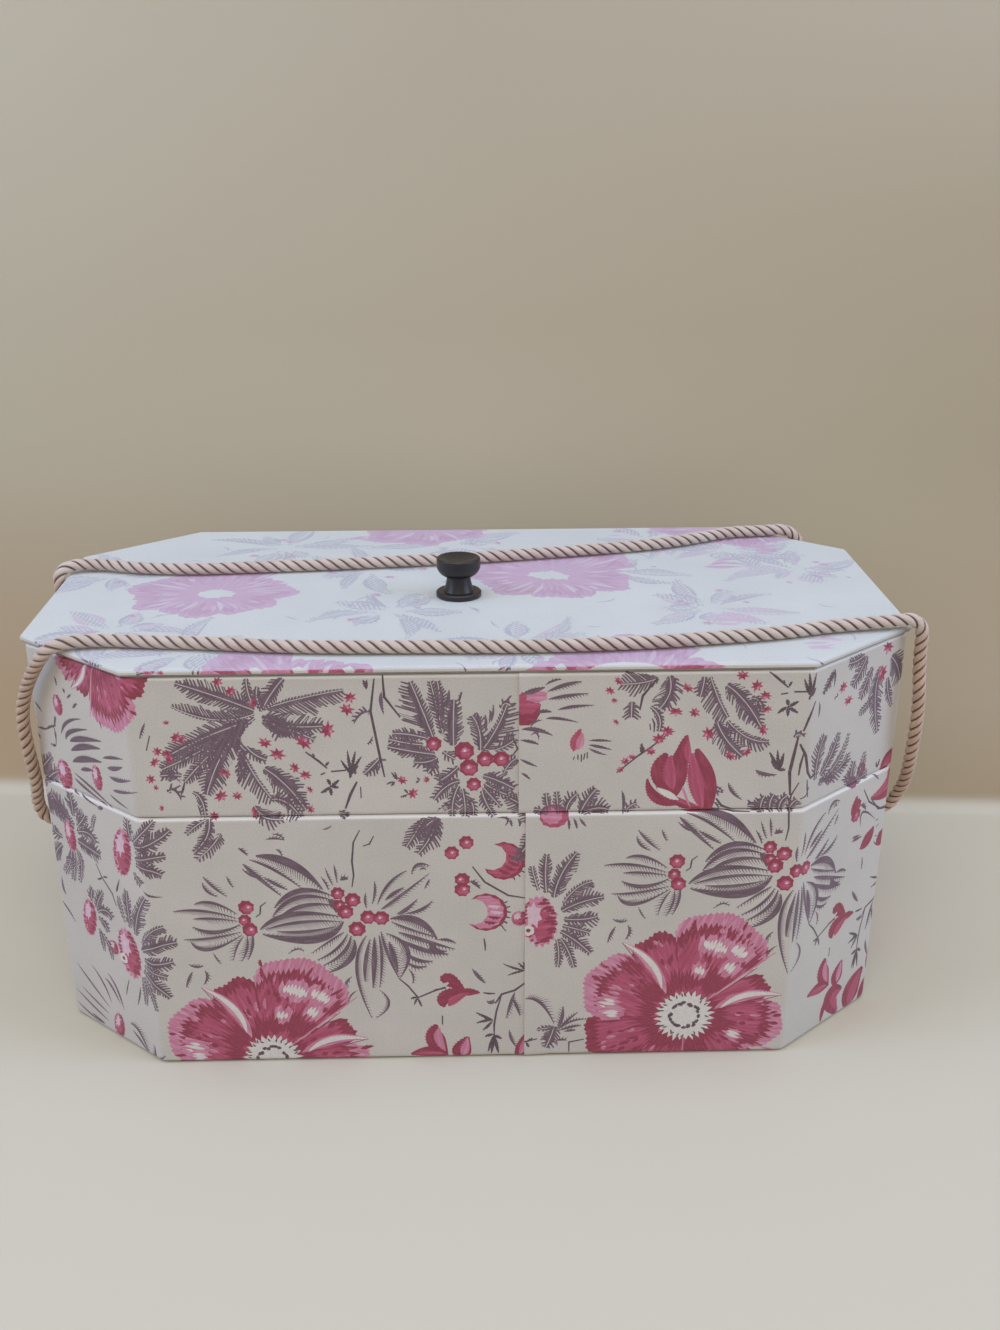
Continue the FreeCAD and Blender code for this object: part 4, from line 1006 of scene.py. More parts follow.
# The lid's motifs: stars of leaves by place, turn and looseness, poppies by place, scale and turn,
# smears by place, length and ink, and bare notches on the front edge by place, half length and width
faded_stars = (
    (-36, -34, 0, 0), (112, -34, 20, 0.3), (-10, 76, 40, 0.2), (-160, -58, 200, 0.2), (98, 84, 10, 0.2),
    (-96, 74, 30, 0), (166, 24, 120, 0.4), (-176, 26, 300, 0.1), (20, -84, 60, 0.2), (70, 26, 200, 0.1),
    (-50, 34, 100, 0), (-120, -88, 0, 0.1), (136, 62, 60, 0.5), (30, 40, 10, 0.1))
faded_poppies = (
    (-122, -4, 0.84, 0.2), (42, 20, 0.9, -0.4), (-76, -134, 0.9, 0.9), (68, -137, 1.12, 0.3),
    (150, 108, 0.8, 2.0), (-20, 114, 0.8, 1.2))
faded_smears = (
    (124, 36, 20, "rose"), (112, -54, 26, "rose_light"), (150, 62, 16, "rose"), (-172, -70, 12, "rose"),
    (-60, 92, 12, "rose"), (150, -86, 14, "rose_light"))
edge_notches = ((66, 17, 6.5), (-90, 1.5, 5), (-72, 2, 5), (-51, 1.2, 5), (38, 1, 5))
notch_foot, notch_peak = -112, -109.5
star_leaves = 9
star_florets = 5
smear_strokes = 7
loose_twigs = 60


def draw_top():
    """The print as it lies on the lid, whose cloth runs over from front to back."""
    draw = Drawing(73)
    at = complex
    for x, y, turn, loose in faded_stars:
        centre = at(x, y)
        for i in range(star_leaves):
            way = cmath.rect(1, math.radians(turn + 40 * i + draw.jitter(14)))
            length = draw.dice.uniform(14, 40)
            foot = centre + way * draw.dice.uniform(3, 9)
            middle = foot + way * length * at(0.5, draw.jitter(0.2))
            faded_leaf(draw, foot, middle, foot + way * length, draw.dice.uniform(4, 10), loose)
        for _ in range(star_florets):
            spot = centre + cmath.rect(draw.dice.uniform(10, 30), draw.jitter(3.1))
            draw.floret(spot, draw.dice.uniform(2, 4))
    for x, y, scale, turn in faded_poppies:
        faded_poppy(draw, at(x, y), scale, turn)
    for x, y, across, ink in faded_smears:
        for _ in range(smear_strokes):
            start = at(x + draw.jitter(5), y + draw.jitter(7))
            tip = start + at(across * draw.dice.uniform(0.5, 1), draw.jitter(5))
            middle = (start + tip) / 2 + draw.jitter(2) * 1j
            draw.stroke(start, middle, tip, draw.dice.uniform(1.5, 4), 1.5, ink)
    for x, half, wide in edge_notches:
        start, end = at(x - half, notch_foot), at(x + half, notch_foot)
        draw.stroke(start, at(x, notch_peak), end, wide, 0.8, "ground")
    for _ in range(loose_twigs):
        start = at(draw.jitter(190), draw.jitter(110))
        tip = start + cmath.rect(draw.dice.uniform(5, 15), draw.jitter(3.1))
        bend = (start + tip) / 2 + (tip - start) * 1j * draw.jitter(0.25)
        width = draw.dice.uniform(0.6, 1.3)
        draw.stroke(start, bend, tip, width, 0.9, draw.dice.choice(("plum", "twig", "plum")))
    return draw.shapes


prints = {"left": draw_left(), "right": draw_right(), "top": draw_top()}


# Covers: the plan of the box, and how a flat cloth lies on it

def box_mm(name):
    low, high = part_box(name)
    return [value / MM for value in low], [value / MM for value in high]


# Plan of the box: the lid's half sizes and cut corners, and the walls, set in further at the floor
lid_low, lid_high = box_mm("lid_printed_cover")
lid_half_x = (lid_high[0] - lid_low[0]) / 2
lid_half_y = (lid_high[1] - lid_low[1]) / 2
corner_cut_along, corner_cut_across = 53.4, 47.0
rim_top = box_mm("tray_printed_cover")[1][2]
lid_overhang = lid_half_x - box_mm("tray_printed_cover")[1][0]
side_lean = 4.0

# The cloth: its thickness, how deep it covers a wall's top and turns under, its folds and its laps
cloth = 0.35
wall_depth = 3.7
base_turn_under, tray_turn_under = 13.0, 4.4
foot_gap, lid_slot = 0.5, 0.8
low_fold, high_fold, lid_fold = 2.1, 2.3, 1.8
corner_radius = 1.8
base_lap, tray_lap = 23.5, 20.5
lap_height, lap_width, lap_under = 0.6, 12.0, 3.0
lap_flat_share = 0.15

# The print on it: length of a repeat, how many are tried each way, the lid's share, where strong ink starts
right_repeat, left_repeat = 202.0, 262.0
repeats_each_way = 6
lid_window_share = 1.05
strong_ink_depth = 0.9

# Cutting: the distance at which points merge, a crease's least distance from an edge, a normal's step
cut_tolerance = 1e-4
crease_margin = 0.2
normal_step = 0.05


def corner_plan(inset):
    """The eight corners of the lid's plan, moved in all round by a distance or an array of them."""
    half_x = lid_half_x - inset
    half_y = lid_half_y - inset
    slant = math.hypot(corner_cut_along, corner_cut_across)
    reach = (corner_cut_across * lid_half_x + corner_cut_along * (lid_half_y - corner_cut_across)) / slant
    reach = reach - inset
    end_y = (reach * slant - corner_cut_across * half_x) / corner_cut_along
    side_x = (reach * slant - corner_cut_along * half_y) / corner_cut_across
    return np.array([x + 1j * y for x, y in (
        (-side_x, -half_y), (side_x, -half_y), (half_x, -end_y), (half_x, end_y), (side_x, half_y),
        (-side_x, half_y), (-half_x, end_y), (-half_x, -end_y))])


def side_inset(level):
    return lid_overhang + side_lean * (rim_top - level) / rim_top


class TierWrap:
    """How a strip of cloth lies round a tier: s runs round it from the lap, t up over its edges."""

    def __init__(self, foot, top, turn_under, lap_place):
        self.foot, self.top, self.turn_under = foot, top, turn_under
        self.height = top - foot
        plan = corner_plan(side_inset((foot + top) / 2))
        self.lengths = abs(np.roll(plan, -1) - plan)
        self.starts = np.cumsum(self.lengths) - self.lengths
        self.round = float(sum(self.lengths))
        self.lap = lap_place - plan[0].real

    def profile(self, t):
        """Depth behind the face and height above the floor, round the two folded edges."""
        depth = np.maximum(-t, 0) + np.maximum(t - self.height, 0)
        level = self.foot + np.clip(t, 0, self.height)
        w = (t + low_fold) / (2 * low_fold)
        low = abs(t) < low_fold
        depth = np.where(low, (1 - w) ** 2 * low_fold, depth)
        level = np.where(low, self.foot + w * w * low_fold, level)
        w = (t - self.height + high_fold) / (2 * high_fold)
        high = abs(t - self.height) < high_fold
        depth = np.where(high, w * w * high_fold, depth)
        level = np.where(high, self.top - (1 - w) ** 2 * high_fold, level)
        return depth, level

    def place(self, s, t):
        depth, level = self.profile(t)
        plan = corner_plan(side_inset(level) + depth)
        w = (s + self.lap) % self.round
        side = np.clip(np.searchsorted(self.starts, w, side="right") - 1, 0, 7)
        each = np.arange(len(w))

        def on_side(i, distance):
            share = distance / self.lengths[i]
            return plan[i, each] * (1 - share) + plan[(i + 1) % 8, each] * share

        into = w - self.starts[side]
        left = self.lengths[side] - into
        c = corner_radius
        first = np.where(into < c, (side - 1) % 8, side)
        second = (first + 1) % 8
        v = (np.where(into < c, into, -left) + c) / (2 * c)
        bent = ((1 - v) ** 2 * on_side(first, self.lengths[first] - c)
                + 2 * v * (1 - v) * plan[second, each] + v * v * on_side(second, c))
        point = np.where((into < c) | (left < c), bent, on_side(side, into))
        return np.stack([point.real, point.imag, level], axis=1)

    def creases(self, s_low, s_high):
        """Where the cloth bends: places along s, then places along t."""
        along = []
        for start in list(self.starts) + [self.round]:
            for shift in (-corner_radius, -corner_radius / 2, 0, corner_radius / 2, corner_radius):
                for turn in (-1, 0, 1):
                    along.append(start + shift - self.lap + turn * self.round)
        up = [shift * r + centre for centre, r in ((0, low_fold), (self.height, high_fold))
              for shift in (-1, -0.5, 0, 0.5, 1)]
        return ([s for s in along if s_low + crease_margin < s < s_high - crease_margin],
                [t for t in up if -self.turn_under < t < self.height + wall_depth])


def tile_shapes(drawing, low, high, repeat_along, repeats):
    """The shapes of a drawing that reach a window of the cloth, repeated along it."""
    found = []
    for column in range(-repeats, repeats + 1):
        shift = complex(column * repeat_along, 0)
        for points, ink, origin, way in prints[drawing]:
            moved = [point + shift for point in points]
            xs = [point.real for point in moved]
            ys = [point.imag for point in moved]
            if max(xs) > low.real and min(xs) < high.real and max(ys) > low.imag and min(ys) < high.imag:
                found.append((moved, ink, origin + shift, way))
    return found


def cut_cloth(outline, creases, shapes, inside):
    """Cuts a flat cloth into triangles along its outline, creases and printed shapes."""
    points = [Vector((point.real, point.imag)) for point in outline]
    edges = [(i, (i + 1) % len(outline)) for i in range(len(outline))]
    for start, end in creases:
        edges.append((len(points), len(points) + 1))
        points += [Vector((start.real, start.imag)), Vector((end.real, end.imag))]
    faces = []
    for shape, _, _, _ in shapes:
        area = sum((a.conjugate() * b).imag for a, b in zip(shape, shape[1:] + shape[:1]))
        ordered = shape if area > 0 else shape[::-1]
        faces.append(list(range(len(points), len(points) + len(ordered))))
        points += [Vector((point.real, point.imag)) for point in ordered]
    verts, _, tris, _, _, sources = delaunay_2d_cdt(points, edges, faces, 0, cut_tolerance, True)
    flat = np.array([tuple(vert) for vert in verts])
    tris = np.array(tris)
    tops = np.array([max(source) if source else -1 for source in sources])
    keep = inside(flat[tris].mean(axis=1))
    return flat, tris[keep], tops[keep]


def border_loop(tris, count):
    """The border of a cut cloth as one loop of its points, in order."""
    first, second = tris.ravel(), np.roll(tris, -1, axis=1).ravel()
    alone = ~np.isin(first * count + second, second * count + first)
    follow = dict(zip(first[alone].tolist(), second[alone].tolist()))
    loop = [min(follow)]
    while follow[loop[-1]] != loop[0]:
        loop.append(follow[loop[-1]])
    return loop


def wrap_cloth(name, cut, creases, shapes, lay, lift, materials, dress=None):
    """Lays a cut cloth on the box as a thin closed sheet: printed face, plain back and cut edge."""
    flat, tris, tops = cut
    border = border_loop(tris, len(flat))
    edge = len(border)
    lines = [(i, (i + 1) % edge) for i in range(edge)]
    back_points = [Vector(flat[i]) for i in border]
    for start, end in creases:
        lines.append((len(back_points), len(back_points) + 1))
        back_points += [Vector((start.real, start.imag)), Vector((end.real, end.imag))]
    flat_back, _, back_tris, groups, _, _ = delaunay_2d_cdt(back_points, lines, [], 1, cut_tolerance, True)
    used, tris = np.unique(tris, return_inverse=True)
    tris = tris.reshape(-1, 3)
    count = len(used)
    both = np.concatenate([flat[used], np.array([tuple(point) for point in flat_back])])
    x, y = both.T
    along = lay(x + normal_step, y) - lay(x - normal_step, y)
    up = lay(x, y + normal_step) - lay(x, y - normal_step)
    normal = np.cross(along, up)
    normal /= np.linalg.norm(normal, axis=1)[:, None]
    raised = lift(x, y) - np.where(np.arange(len(x)) >= count, cloth, 0)
    points = lay(x, y) + normal * raised[:, None]
    back_tris = np.array(back_tris)[:, ::-1] + count
    twin = {source: count + new for new, group in enumerate(groups) for source in group if source < edge}
    own = np.searchsorted(used, border)
    rim = []
    for k in range(edge):
        a, b, below_a, below_b = own[k], own[(k + 1) % edge], twin[k], twin[(k + 1) % edge]
        if below_a != below_b and a != b:
            rim.append((a, below_a, below_b, b))
    rim = np.array(rim)
    spots = both[:, 0] + 1j * both[:, 1]
    inks = np.array([shape[1] for shape in shapes] + [0])[tops]
    origins = np.array([shape[2] for shape in shapes] + [0])[tops]
    ways = np.array([shape[3] for shape in shapes] + [1])[tops]
    local = (spots[tris] - origins[:, None]) * ways.conjugate()[:, None]
    across = np.cross(points[rim[:, 3]] - points[rim[:, 0]], normal[rim[:, 0]])
    across /= np.linalg.norm(across, axis=1)[:, None] + 1e-9
    rest = np.concatenate([back_tris.ravel(), rim.ravel()])
    loops = np.concatenate([tris.ravel(), rest])
    ink_uv = np.concatenate([local.ravel(), spots[rest]])
    normals = np.concatenate([normal[tris.ravel()], -normal[back_tris.ravel()], np.repeat(across, 4, axis=0)])
    inks = np.concatenate([inks, np.full(len(back_tris), len(INKS)), np.zeros(len(rim), dtype=int)])
    if dress is not None:
        dress(inks, points[tris].mean(axis=1))
    faces = tris.tolist() + back_tris.tolist() + rim.tolist()
    uvs = {"cloth": both[loops], "ink": np.stack([ink_uv.real, ink_uv.imag], axis=1)}
    return mesh_piece(name, points, faces, materials, inks, uvs, normals)


def tier_cover(tier, turn_under, lap_place):
    """A tier's printed cover, of two lengths of cloth lapped at the front and at the back."""
    low, high = box_mm(tier + "_printed_cover")
    wrap = TierWrap(max(low[2], foot_gap), high[2], turn_under, lap_place)
    half = wrap.round * 0.5
    t_low, t_high = -turn_under, wrap.height + wall_depth
    made = []
    for s_low, s_high, drawing, repeat in ((0, half + lap_under, "right", right_repeat),
                                           (half, wrap.round + lap_under, "left", left_repeat)):
        corners = [complex(s, t) for s, t in (
            (s_low, t_low), (s_high, t_low), (s_high, t_high), (s_low, t_high))]
        shift = complex(lap_place - (wrap.round if s_low else 0), wrap.foot)
        window = (corners[0] + shift, corners[2] + shift)
        shapes = [([point - shift for point in shape], ink, origin - shift, way)
                  for shape, ink, origin, way in tile_shapes(drawing, *window, repeat, repeats_each_way)]
        along, up = wrap.creases(s_low, s_high)
        along += [s_low + lap_width * share for share in (lap_flat_share, 0.5, 1)]
        creases = [(complex(s, t_low), complex(s, t_high)) for s in along]
        creases += [(complex(s_low, t), complex(s_high, t)) for t in up]

        def inside(middles):
            s, t = middles.T
            return (s > s_low) & (s < s_high) & (t > t_low) & (t < t_high)

        def lift(s, t):
            past = s - s_low - lap_width * lap_flat_share
            share = np.clip(1 - past / (lap_width * (1 - lap_flat_share)), 0, 1)
            return lap_height * share * share * (3 - 2 * share)

        cut = cut_cloth(corners, creases, shapes, inside)
        made.append(wrap_cloth(f"{tier}_{drawing}_print", cut, creases, shapes, wrap.place, lift, side_inks))
    return made


class LidWrap:
    """How the lid's cloth lies on its board and folds down over the board's edge."""

    def __init__(self):
        self.top, self.foot = lid_high[2], lid_low[2] + lid_slot
        self.plan = corner_plan(0)
        way = np.roll(self.plan, -1) - self.plan
        self.ways = way / abs(way)

    def beyond(self, points):
        """How far points lie past the side they are nearest to or past, under zero inside, and which."""
        past = ((points[None, :] - self.plan[:, None]) * (self.ways * -1j).conjugate()[:, None]).real
        side = past.argmax(axis=0)
        return past.max(axis=0), side

    def place(self, x, y):
        point = x + 1j * y
        past, side = self.beyond(point)
        each = np.arange(len(x))
        offset = corner_plan(-past)
        a, b = offset[side, each], offset[(side + 1) % 8, each]
        share = ((point - a) * self.ways[side].conjugate()).real / abs(b - a)
        r = lid_fold
        w = (past + r) / (2 * r)
        turned = past < r
        outward = np.where(turned, -r * (1 - w) ** 2, 0)
        level = np.where(turned, self.top - r * w * w, self.top - past)
        lid_plan = corner_plan(-outward)
        spot = lid_plan[side, each] * (1 - share) + lid_plan[(side + 1) % 8, each] * share
        flat = past <= -r
        spot = np.where(flat, point, spot)
        return np.stack([spot.real, spot.imag, np.where(flat, self.top, level)], axis=1)


def lid_cover():
    """The lid's cloth: paled on top by painted glare of the light from above, its inks stronger on the folded
    edge.
    """
    wrap = LidWrap()
    band = wrap.top - wrap.foot
    outline = list(corner_plan(-band))
    size = complex(lid_half_x, lid_half_y) * lid_window_share
    shapes = tile_shapes("top", -size, size, 0, 0)
    creases = []
    for past in (-lid_fold, -lid_fold / 2, 0, lid_fold / 2, lid_fold):
        ring = corner_plan(-past)
        creases += [(ring[i], ring[(i + 1) % 8]) for i in range(8)]
    inner = corner_plan(lid_fold)
    creases += [(inner[i], outline[i]) for i in range(8)]

    def inside(middles):
        return wrap.beyond(middles[:, 0] + 1j * middles[:, 1])[0] < band

    # Painted glare: on the folded edge the sides' inks take over, their roses a step paler where the glare
    # carries round the fold
    def dress(inks, middles):
        folded = middles[:, 2] < wrap.top - strong_ink_depth
        printed = inks[:len(middles)]
        for ink, paler in (("rose", "rose_light"), ("rose_deep", "rose")):
            printed[folded & (printed == INKS.index(ink))] = INKS.index(paler)
        printed[folded] += len(lid_glare_inks)

    cut = cut_cloth(outline, creases, shapes, inside)
    return wrap_cloth("lid_print", cut, creases, shapes, wrap.place, lambda x, y: x * 0,
                      lid_glare_inks + side_inks, dress)


# Cords: three strands each, along the same routes as the frame's tubes

front_cord_route = [
    (-191.9, -48, 99.6), (-200.8, -48, 99.6), (-204.6, -49.5, 108), (-201.4, -57.5, 124),
    (-201.7, -63, 142), (-202.0, -66, 160), (-197.6, -70.3, 175), (-189, -78.6, 190),
    (-179.3, -86.2, 202), (-161, -80, 201.3), (-141, -82.6, 201.1), (-117, -85.2, 201.3),
    (-91, -89.4, 201.1), (-62, -92.8, 201.3), (-24, -93.3, 201.2), (12, -94.5, 201.1),
    (42, -94.1, 201.3), (74, -91.6, 201.1), (104, -87, 201.3), (135, -81.2, 201.1),
    (162, -72.5, 201.3), (184, -69.6, 201.7), (203.7, -66.6, 202.4), (203.7, -64.8, 183),
    (205.0, -67.5, 161), (204.8, -65, 139), (206.0, -56.5, 119), (204.8, -49.5, 108),
    (200.8, -48, 99.6), (191.9, -48, 99.6),
]
back_cord_route = [
    (-191.9, 48, 99.6), (-200.8, 48, 99.6), (-204.6, 46.5, 108), (-202.2, 42, 126),
    (-202.8, 37.5, 147), (-202.6, 32, 168), (-203.8, 26, 187), (-204.6, 27, 201.8),
    (-190, 36, 201.7), (-165, 28, 201.2), (-137, 25.2, 201.1), (-107.5, 27.4, 201.3),
    (-76, 30.4, 201.1), (-37.4, 35, 201.3), (-5, 39.3, 201.1), (28, 45.3, 201.3),
    (62, 53, 201.1), (94.3, 60.2, 201.3), (120, 71.6, 201.1), (142, 84.6, 201.3),
    (158, 85.9, 201.2), (177.5, 89.6, 201.5), (184.8, 89.4, 185), (193, 81.4, 167),
    (200, 68.4, 147), (203, 56, 127), (204.8, 49.5, 108), (200.8, 48, 99.6), (191.9, 48, 99.6),
]

# Lay of the strands: a turn's length on the lid and on the legs, the height where one becomes the other
cord_diameter = 6.2
top_lead, leg_lead = 17.6, 13.7
lay_changes_from, lay_changes_over = 190.0, 10.0
ring_step = 1.0

# Round of a strand: places from one groove over the crown to the next, and how far it falls away there
strand_points = (-1.0, -0.9, -0.78, -0.6, -0.3, 0.0, 0.3, 0.6, 0.78, 0.9)
strand_round_share, groove_depth_share = 0.14, 0.34

# The cord's cotton: yarns laid across the strands, fuzz, and the length of its patches of tone
yarn_width = 0.604
yarn_slant = 38.0
yarn_relief = 0.25
cord_fuzz = 0.556
cord_tone_length = 20.0


def route_line(name, route):
    """Points along the smooth spline of a route, as the curve itself gives them."""
    data = bpy.data.curves.new(name + "_route", "CURVE")
    data.dimensions = "3D"
    data.resolution_u = 24
    spline = data.splines.new("NURBS")
    spline.points.add(len(route) - 1)
    for point, place in zip(spline.points, route):
        point.co = [value * MM for value in place] + [1]
    spline.order_u = 3
    spline.use_endpoint_u = True
    holder = link(name + "_route", data)
    bpy.context.view_layer.update()
    mesh = bpy.data.meshes.new_from_object(holder.evaluated_get(bpy.context.evaluated_depsgraph_get()))
    line = [vertex.co / MM for vertex in mesh.vertices]
    bpy.data.objects.remove(holder)
    bpy.data.meshes.remove(mesh)
    bpy.data.curves.remove(data)
    return line


def even_steps(line, step):
    """The same line with points a steady step apart."""
    lengths = np.cumsum([0] + [(b - a).length for a, b in zip(line, line[1:])])
    count = max(2, int(lengths[-1] / step))
    places = np.linspace(0, lengths[-1], count + 1)
    columns = [np.interp(places, lengths, [point[i] for point in line]) for i in range(3)]
    return [Vector(point) for point in zip(*columns)]


def frames_along(line):
    """A pair of cross directions at each point, carried along the line without twist."""
    ways = [(line[min(i + 1, len(line) - 1)] - line[max(i - 1, 0)]).normalized() for i in range(len(line))]
    side = ways[0].orthogonal().normalized()
    pairs = []
    for before, way in zip([ways[0]] + ways, ways):
        side = before.rotation_difference(way) @ side
        side = (side - way * side.dot(way)).normalized()
        pairs.append((side, way.cross(side)))
    return ways, pairs


def twisted_cord(name, line, diameter):
    """Three strands laid up tight, so that each fills a third of the round and crisp grooves part them."""
    ways, pairs = frames_along(line)
    travelled = np.cumsum([0] + [(b - a).length for a, b in zip(line, line[1:])])
    rim = [(2 * math.pi / 3 * (strand + share / 2), abs(share))
           for strand in range(3) for share in strand_points]
    sides = len(rim)
    points, faces, yarn, grooves = [], [], [], []
    angle = 0
    flats = [min(1, max(0, (point.z - lay_changes_from) / lay_changes_over)) for point in line]
    for point, (side, up), flat in zip(line, pairs, flats):
        angle += 2 * math.pi * (travelled[1] - travelled[0]) / (leg_lead + (top_lead - leg_lead) * flat)
        for turn, share in rim:
            reach = diameter / 2 * (1 - strand_round_share * share ** 2 - groove_depth_share * share ** 6)
            points.append(point + (side * math.cos(turn + angle) + up * math.sin(turn + angle)) * reach)
    girth = math.pi * diameter / 3
    lengths = [share * girth / 2 for share in strand_points] + [girth / 2]
    for ring in range(len(line) - 1):
        for i in range(sides):
            a, b = ring * sides + i, ring * sides + (i + 1) % sides
            faces.append((a, b, b + sides, a + sides))
            k = i % len(strand_points)
            for u, v in ((0, k), (0, k + 1), (1, k + 1), (1, k)):
                yarn.append((travelled[ring + u], lengths[v]))
                grooves.append((2 * abs(lengths[v]) / girth, flats[ring + u]))
    for ring in (0, len(line) - 1):
        cap = [ring * sides + i for i in range(sides)]
        faces.append(tuple(cap[::-1] if ring == 0 else cap))
        yarn += [(travelled[ring], 0)] * sides
        grooves += [(0, 0)] * sides
    return mesh_piece(name, points, faces, [cord_cotton], None, {"yarn": yarn, "groove": grooves})


def make_cord_cotton():
    """Spun viscose-cotton cord: peach strands, each of fine yarns twisted the other way, soft sheen; painted
    shade darkens its grooves, and its legs are painted darker and warmer than its top, standing in for shade
    and warm bounce light.
    """
    material, tree, surface = new_material("cord_cotton")
    slanted = node(tree, "Mapping", i0=cloth_point(tree, label="yarn"),
                   Rotation=(0, 0, math.radians(yarn_slant)))
    yarns = node(tree, "TexWave", y_waves, Vector=slanted, Scale=wave_step / yarn_width, Distortion=1.2,
                 Detail=2.0, Detail_Scale=0.9).outputs[1]
    fuzz = node(tree, "TexNoise", Vector=cloth_point(tree, cord_fuzz, cord_fuzz, "yarn"), Scale=1.0,
                Detail=4.0, Roughness=0.7)
    tone = node(tree, "TexNoise", Vector=cloth_point(tree, cord_tone_length, cord_tone_length, "yarn"), Scale=1.0,
                Detail=2.0, Roughness=0.55)
    groove = node(tree, "SeparateXYZ", i0=cloth_point(tree, label="groove"))
    # Painted light and shade: the legs take a darker, warmer tone and the lengths on the lid a paler, cooler
    # one
    painted_shade_legs = node(tree, "ValToRGB", stops=((0.35, "c4a48c"), (0.65, "d0b299")), i0=tone)
    painted_light_top = node(tree, "ValToRGB", stops=((0.35, "cbb9ab"), (0.65, "d8c9bc")), i0=tone)
    spun = node(tree, "ValToRGB", stops=((0.1, "a98672"), (0.55, "ead8ca")), i0=yarns)
    hairs = node(tree, "ValToRGB", stops=((0.35, "b9937c"), (0.65, "eadccf")), i0=fuzz)
    # Painted shade: the cotton darkens to deep brown towards the grooves between the strands
    painted_groove_shade = node(tree, "ValToRGB", stops=((0.62, "000000"), (0.86, "e6e6e6")), i0=groove)
    base = node(tree, "Mix", colours, i0=groove.outputs[1], i6=painted_shade_legs, i7=painted_light_top).outputs[2]
    shades = {**colours, "blend_type": "MULTIPLY"}
    shaded = node(tree, "Mix", shades, i0=0.22, i6=base, i7=spun).outputs[2]
    fuzzy = node(tree, "Mix", colours, i0=0.18, i6=shaded, i7=hairs).outputs[2]
    colour = node(tree, "Mix", colours, i0=painted_groove_shade, i6=fuzzy, i7=linear("4a2b1e")).outputs[2]
    height = node(tree, "Math", times_plus, i0=fuzz, i1=0.5, i2=yarns)
    bump = node(tree, "Bump", Strength=0.6, Distance=yarn_relief * MM, Height=height)
    wire(tree, surface, Base_Color=colour, Roughness=0.7, Sheen_Weight=0.35, Sheen_Roughness=0.4, Normal=bump)
    return material


cord_cotton = make_cord_cotton()
cord_lines = {name: route_line(name, route)
              for name, route in (("front_cord", front_cord_route), ("back_cord", back_cord_route))}
cords = {name: twisted_cord(name + "_rope", even_steps(line, ring_step), cord_diameter)
         for name, line in cord_lines.items()}


# Other finishes of the box: the grain of each in millimetres, across and up

pulp_grain, pulp_relief = 2.86, 0.1
calico_patch, calico_relief = 50.0, 0.12
calico_thread, calico_slub = 0.625, 2.5
beech_pore, beech_grain, beech_relief = 0.909, 6.06, 0.08
zinc_cloud = 1.67


def board_material(name, first, second, roughness=0.85):
    """Uncoated pressed board or paper: pulp mottled at a few millimetres, hardly any gloss."""
    material, tree, surface = new_material(name)
    pulp = node(tree, "TexNoise", Vector=solid_point(tree, pulp_grain, pulp_grain), Scale=1.0, Detail=6.0,
                Roughness=0.7)
    colour = node(tree, "ValToRGB", stops=((0.35, first), (0.65, second)), i0=pulp)
    bump = node(tree, "Bump", Strength=0.3, Distance=pulp_relief * MM, Height=pulp)
    wire(tree, surface, Base_Color=colour, Roughness=roughness, Normal=bump)
    return material


def lining_material():
    """Plain calico lining: unbleached, matt, threads a little slubby."""
    material, tree, surface = new_material("calico_lining")
    patches = node(tree, "TexNoise", Vector=solid_point(tree, calico_patch, calico_patch), Scale=1.0,
                   Detail=4.0, Roughness=0.6)
    threads = node(tree, "TexNoise", Vector=solid_point(tree, calico_thread, calico_slub), Scale=1.0,
                   Detail=2.0, Roughness=0.7)
    colour = node(tree, "ValToRGB", stops=((0.3, "cdbb9c"), (0.7, "d9caae")), i0=patches)
    bump = node(tree, "Bump", Strength=0.35, Distance=calico_relief * MM, Height=threads)
    wire(tree, surface, Base_Color=colour, Roughness=0.8, Sheen_Weight=0.15, Normal=bump)
    return material


def knob_material():
    """Turned beech, stained near black and oiled: faint turning rings, soft satin shine."""
    material, tree, surface = new_material("stained_beech")
    grain = node(tree, "TexNoise", Vector=solid_point(tree, beech_pore, beech_grain), Scale=1.0, Detail=5.0,
                 Roughness=0.65, Distortion=0.6)
    stained = ((0.3, "120d0c"), (0.55, "1b1414"), (0.8, "302425"))
    colour = node(tree, "ValToRGB", stops=stained, i0=grain)
    bump = node(tree, "Bump", Strength=0.3, Distance=beech_relief * MM, Height=grain)
    wire(tree, surface, Base_Color=colour, Roughness=0.42, Coat_Weight=0.15, Coat_Roughness=0.3, Normal=bump)
    return material


def steel_material():
    """Zinc-plated mild steel: pale grey, slightly cloudy."""
    material, tree, surface = new_material("zinc_plated_steel")
    cloud = node(tree, "TexNoise", Vector=solid_point(tree, zinc_cloud, zinc_cloud), Scale=1.0, Detail=3.0,
                 Roughness=0.55)
    colour = node(tree, "ValToRGB", stops=((0.3, "9a9a98"), (0.7, "b9b9b6")), i0=cloud)
    wire(tree, surface, Base_Color=colour, Metallic=1.0, Roughness=0.35)
    return material


# Dress the frame's own nodes

calico = lining_material()
finishes = {
    "grey_board": board_material("grey_board_pulp", "8d867b", "9d968a"),
    "covered_board": calico,
    "lining_cotton": calico,
    "underside_paper": board_material("kraft_paper", "b39a77", "c2aa88", 0.75),
    "knob_wood": knob_material(),
    "screw_steel": steel_material(),
    "twisted_cord": cord_cotton,
}
slots = {part["node"]: part["material_slot"] for part in frame["record"]["subparts"]}
for name, piece in frame["nodes"].items():
    finish = finishes.get(slots[name])
    if finish:
        piece.data.materials.clear()
        piece.data.materials.append(finish)


# Printed covers in place of the frame's plain ones

covers = {
    "base": tier_cover("base", base_turn_under, base_lap),
    "tray": tier_cover("tray", tray_turn_under, tray_lap),
    "lid": [lid_cover()],
}
for body, pieces in covers.items():
    for piece in pieces:
        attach(piece, body)
        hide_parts(body + "_printed_cover")

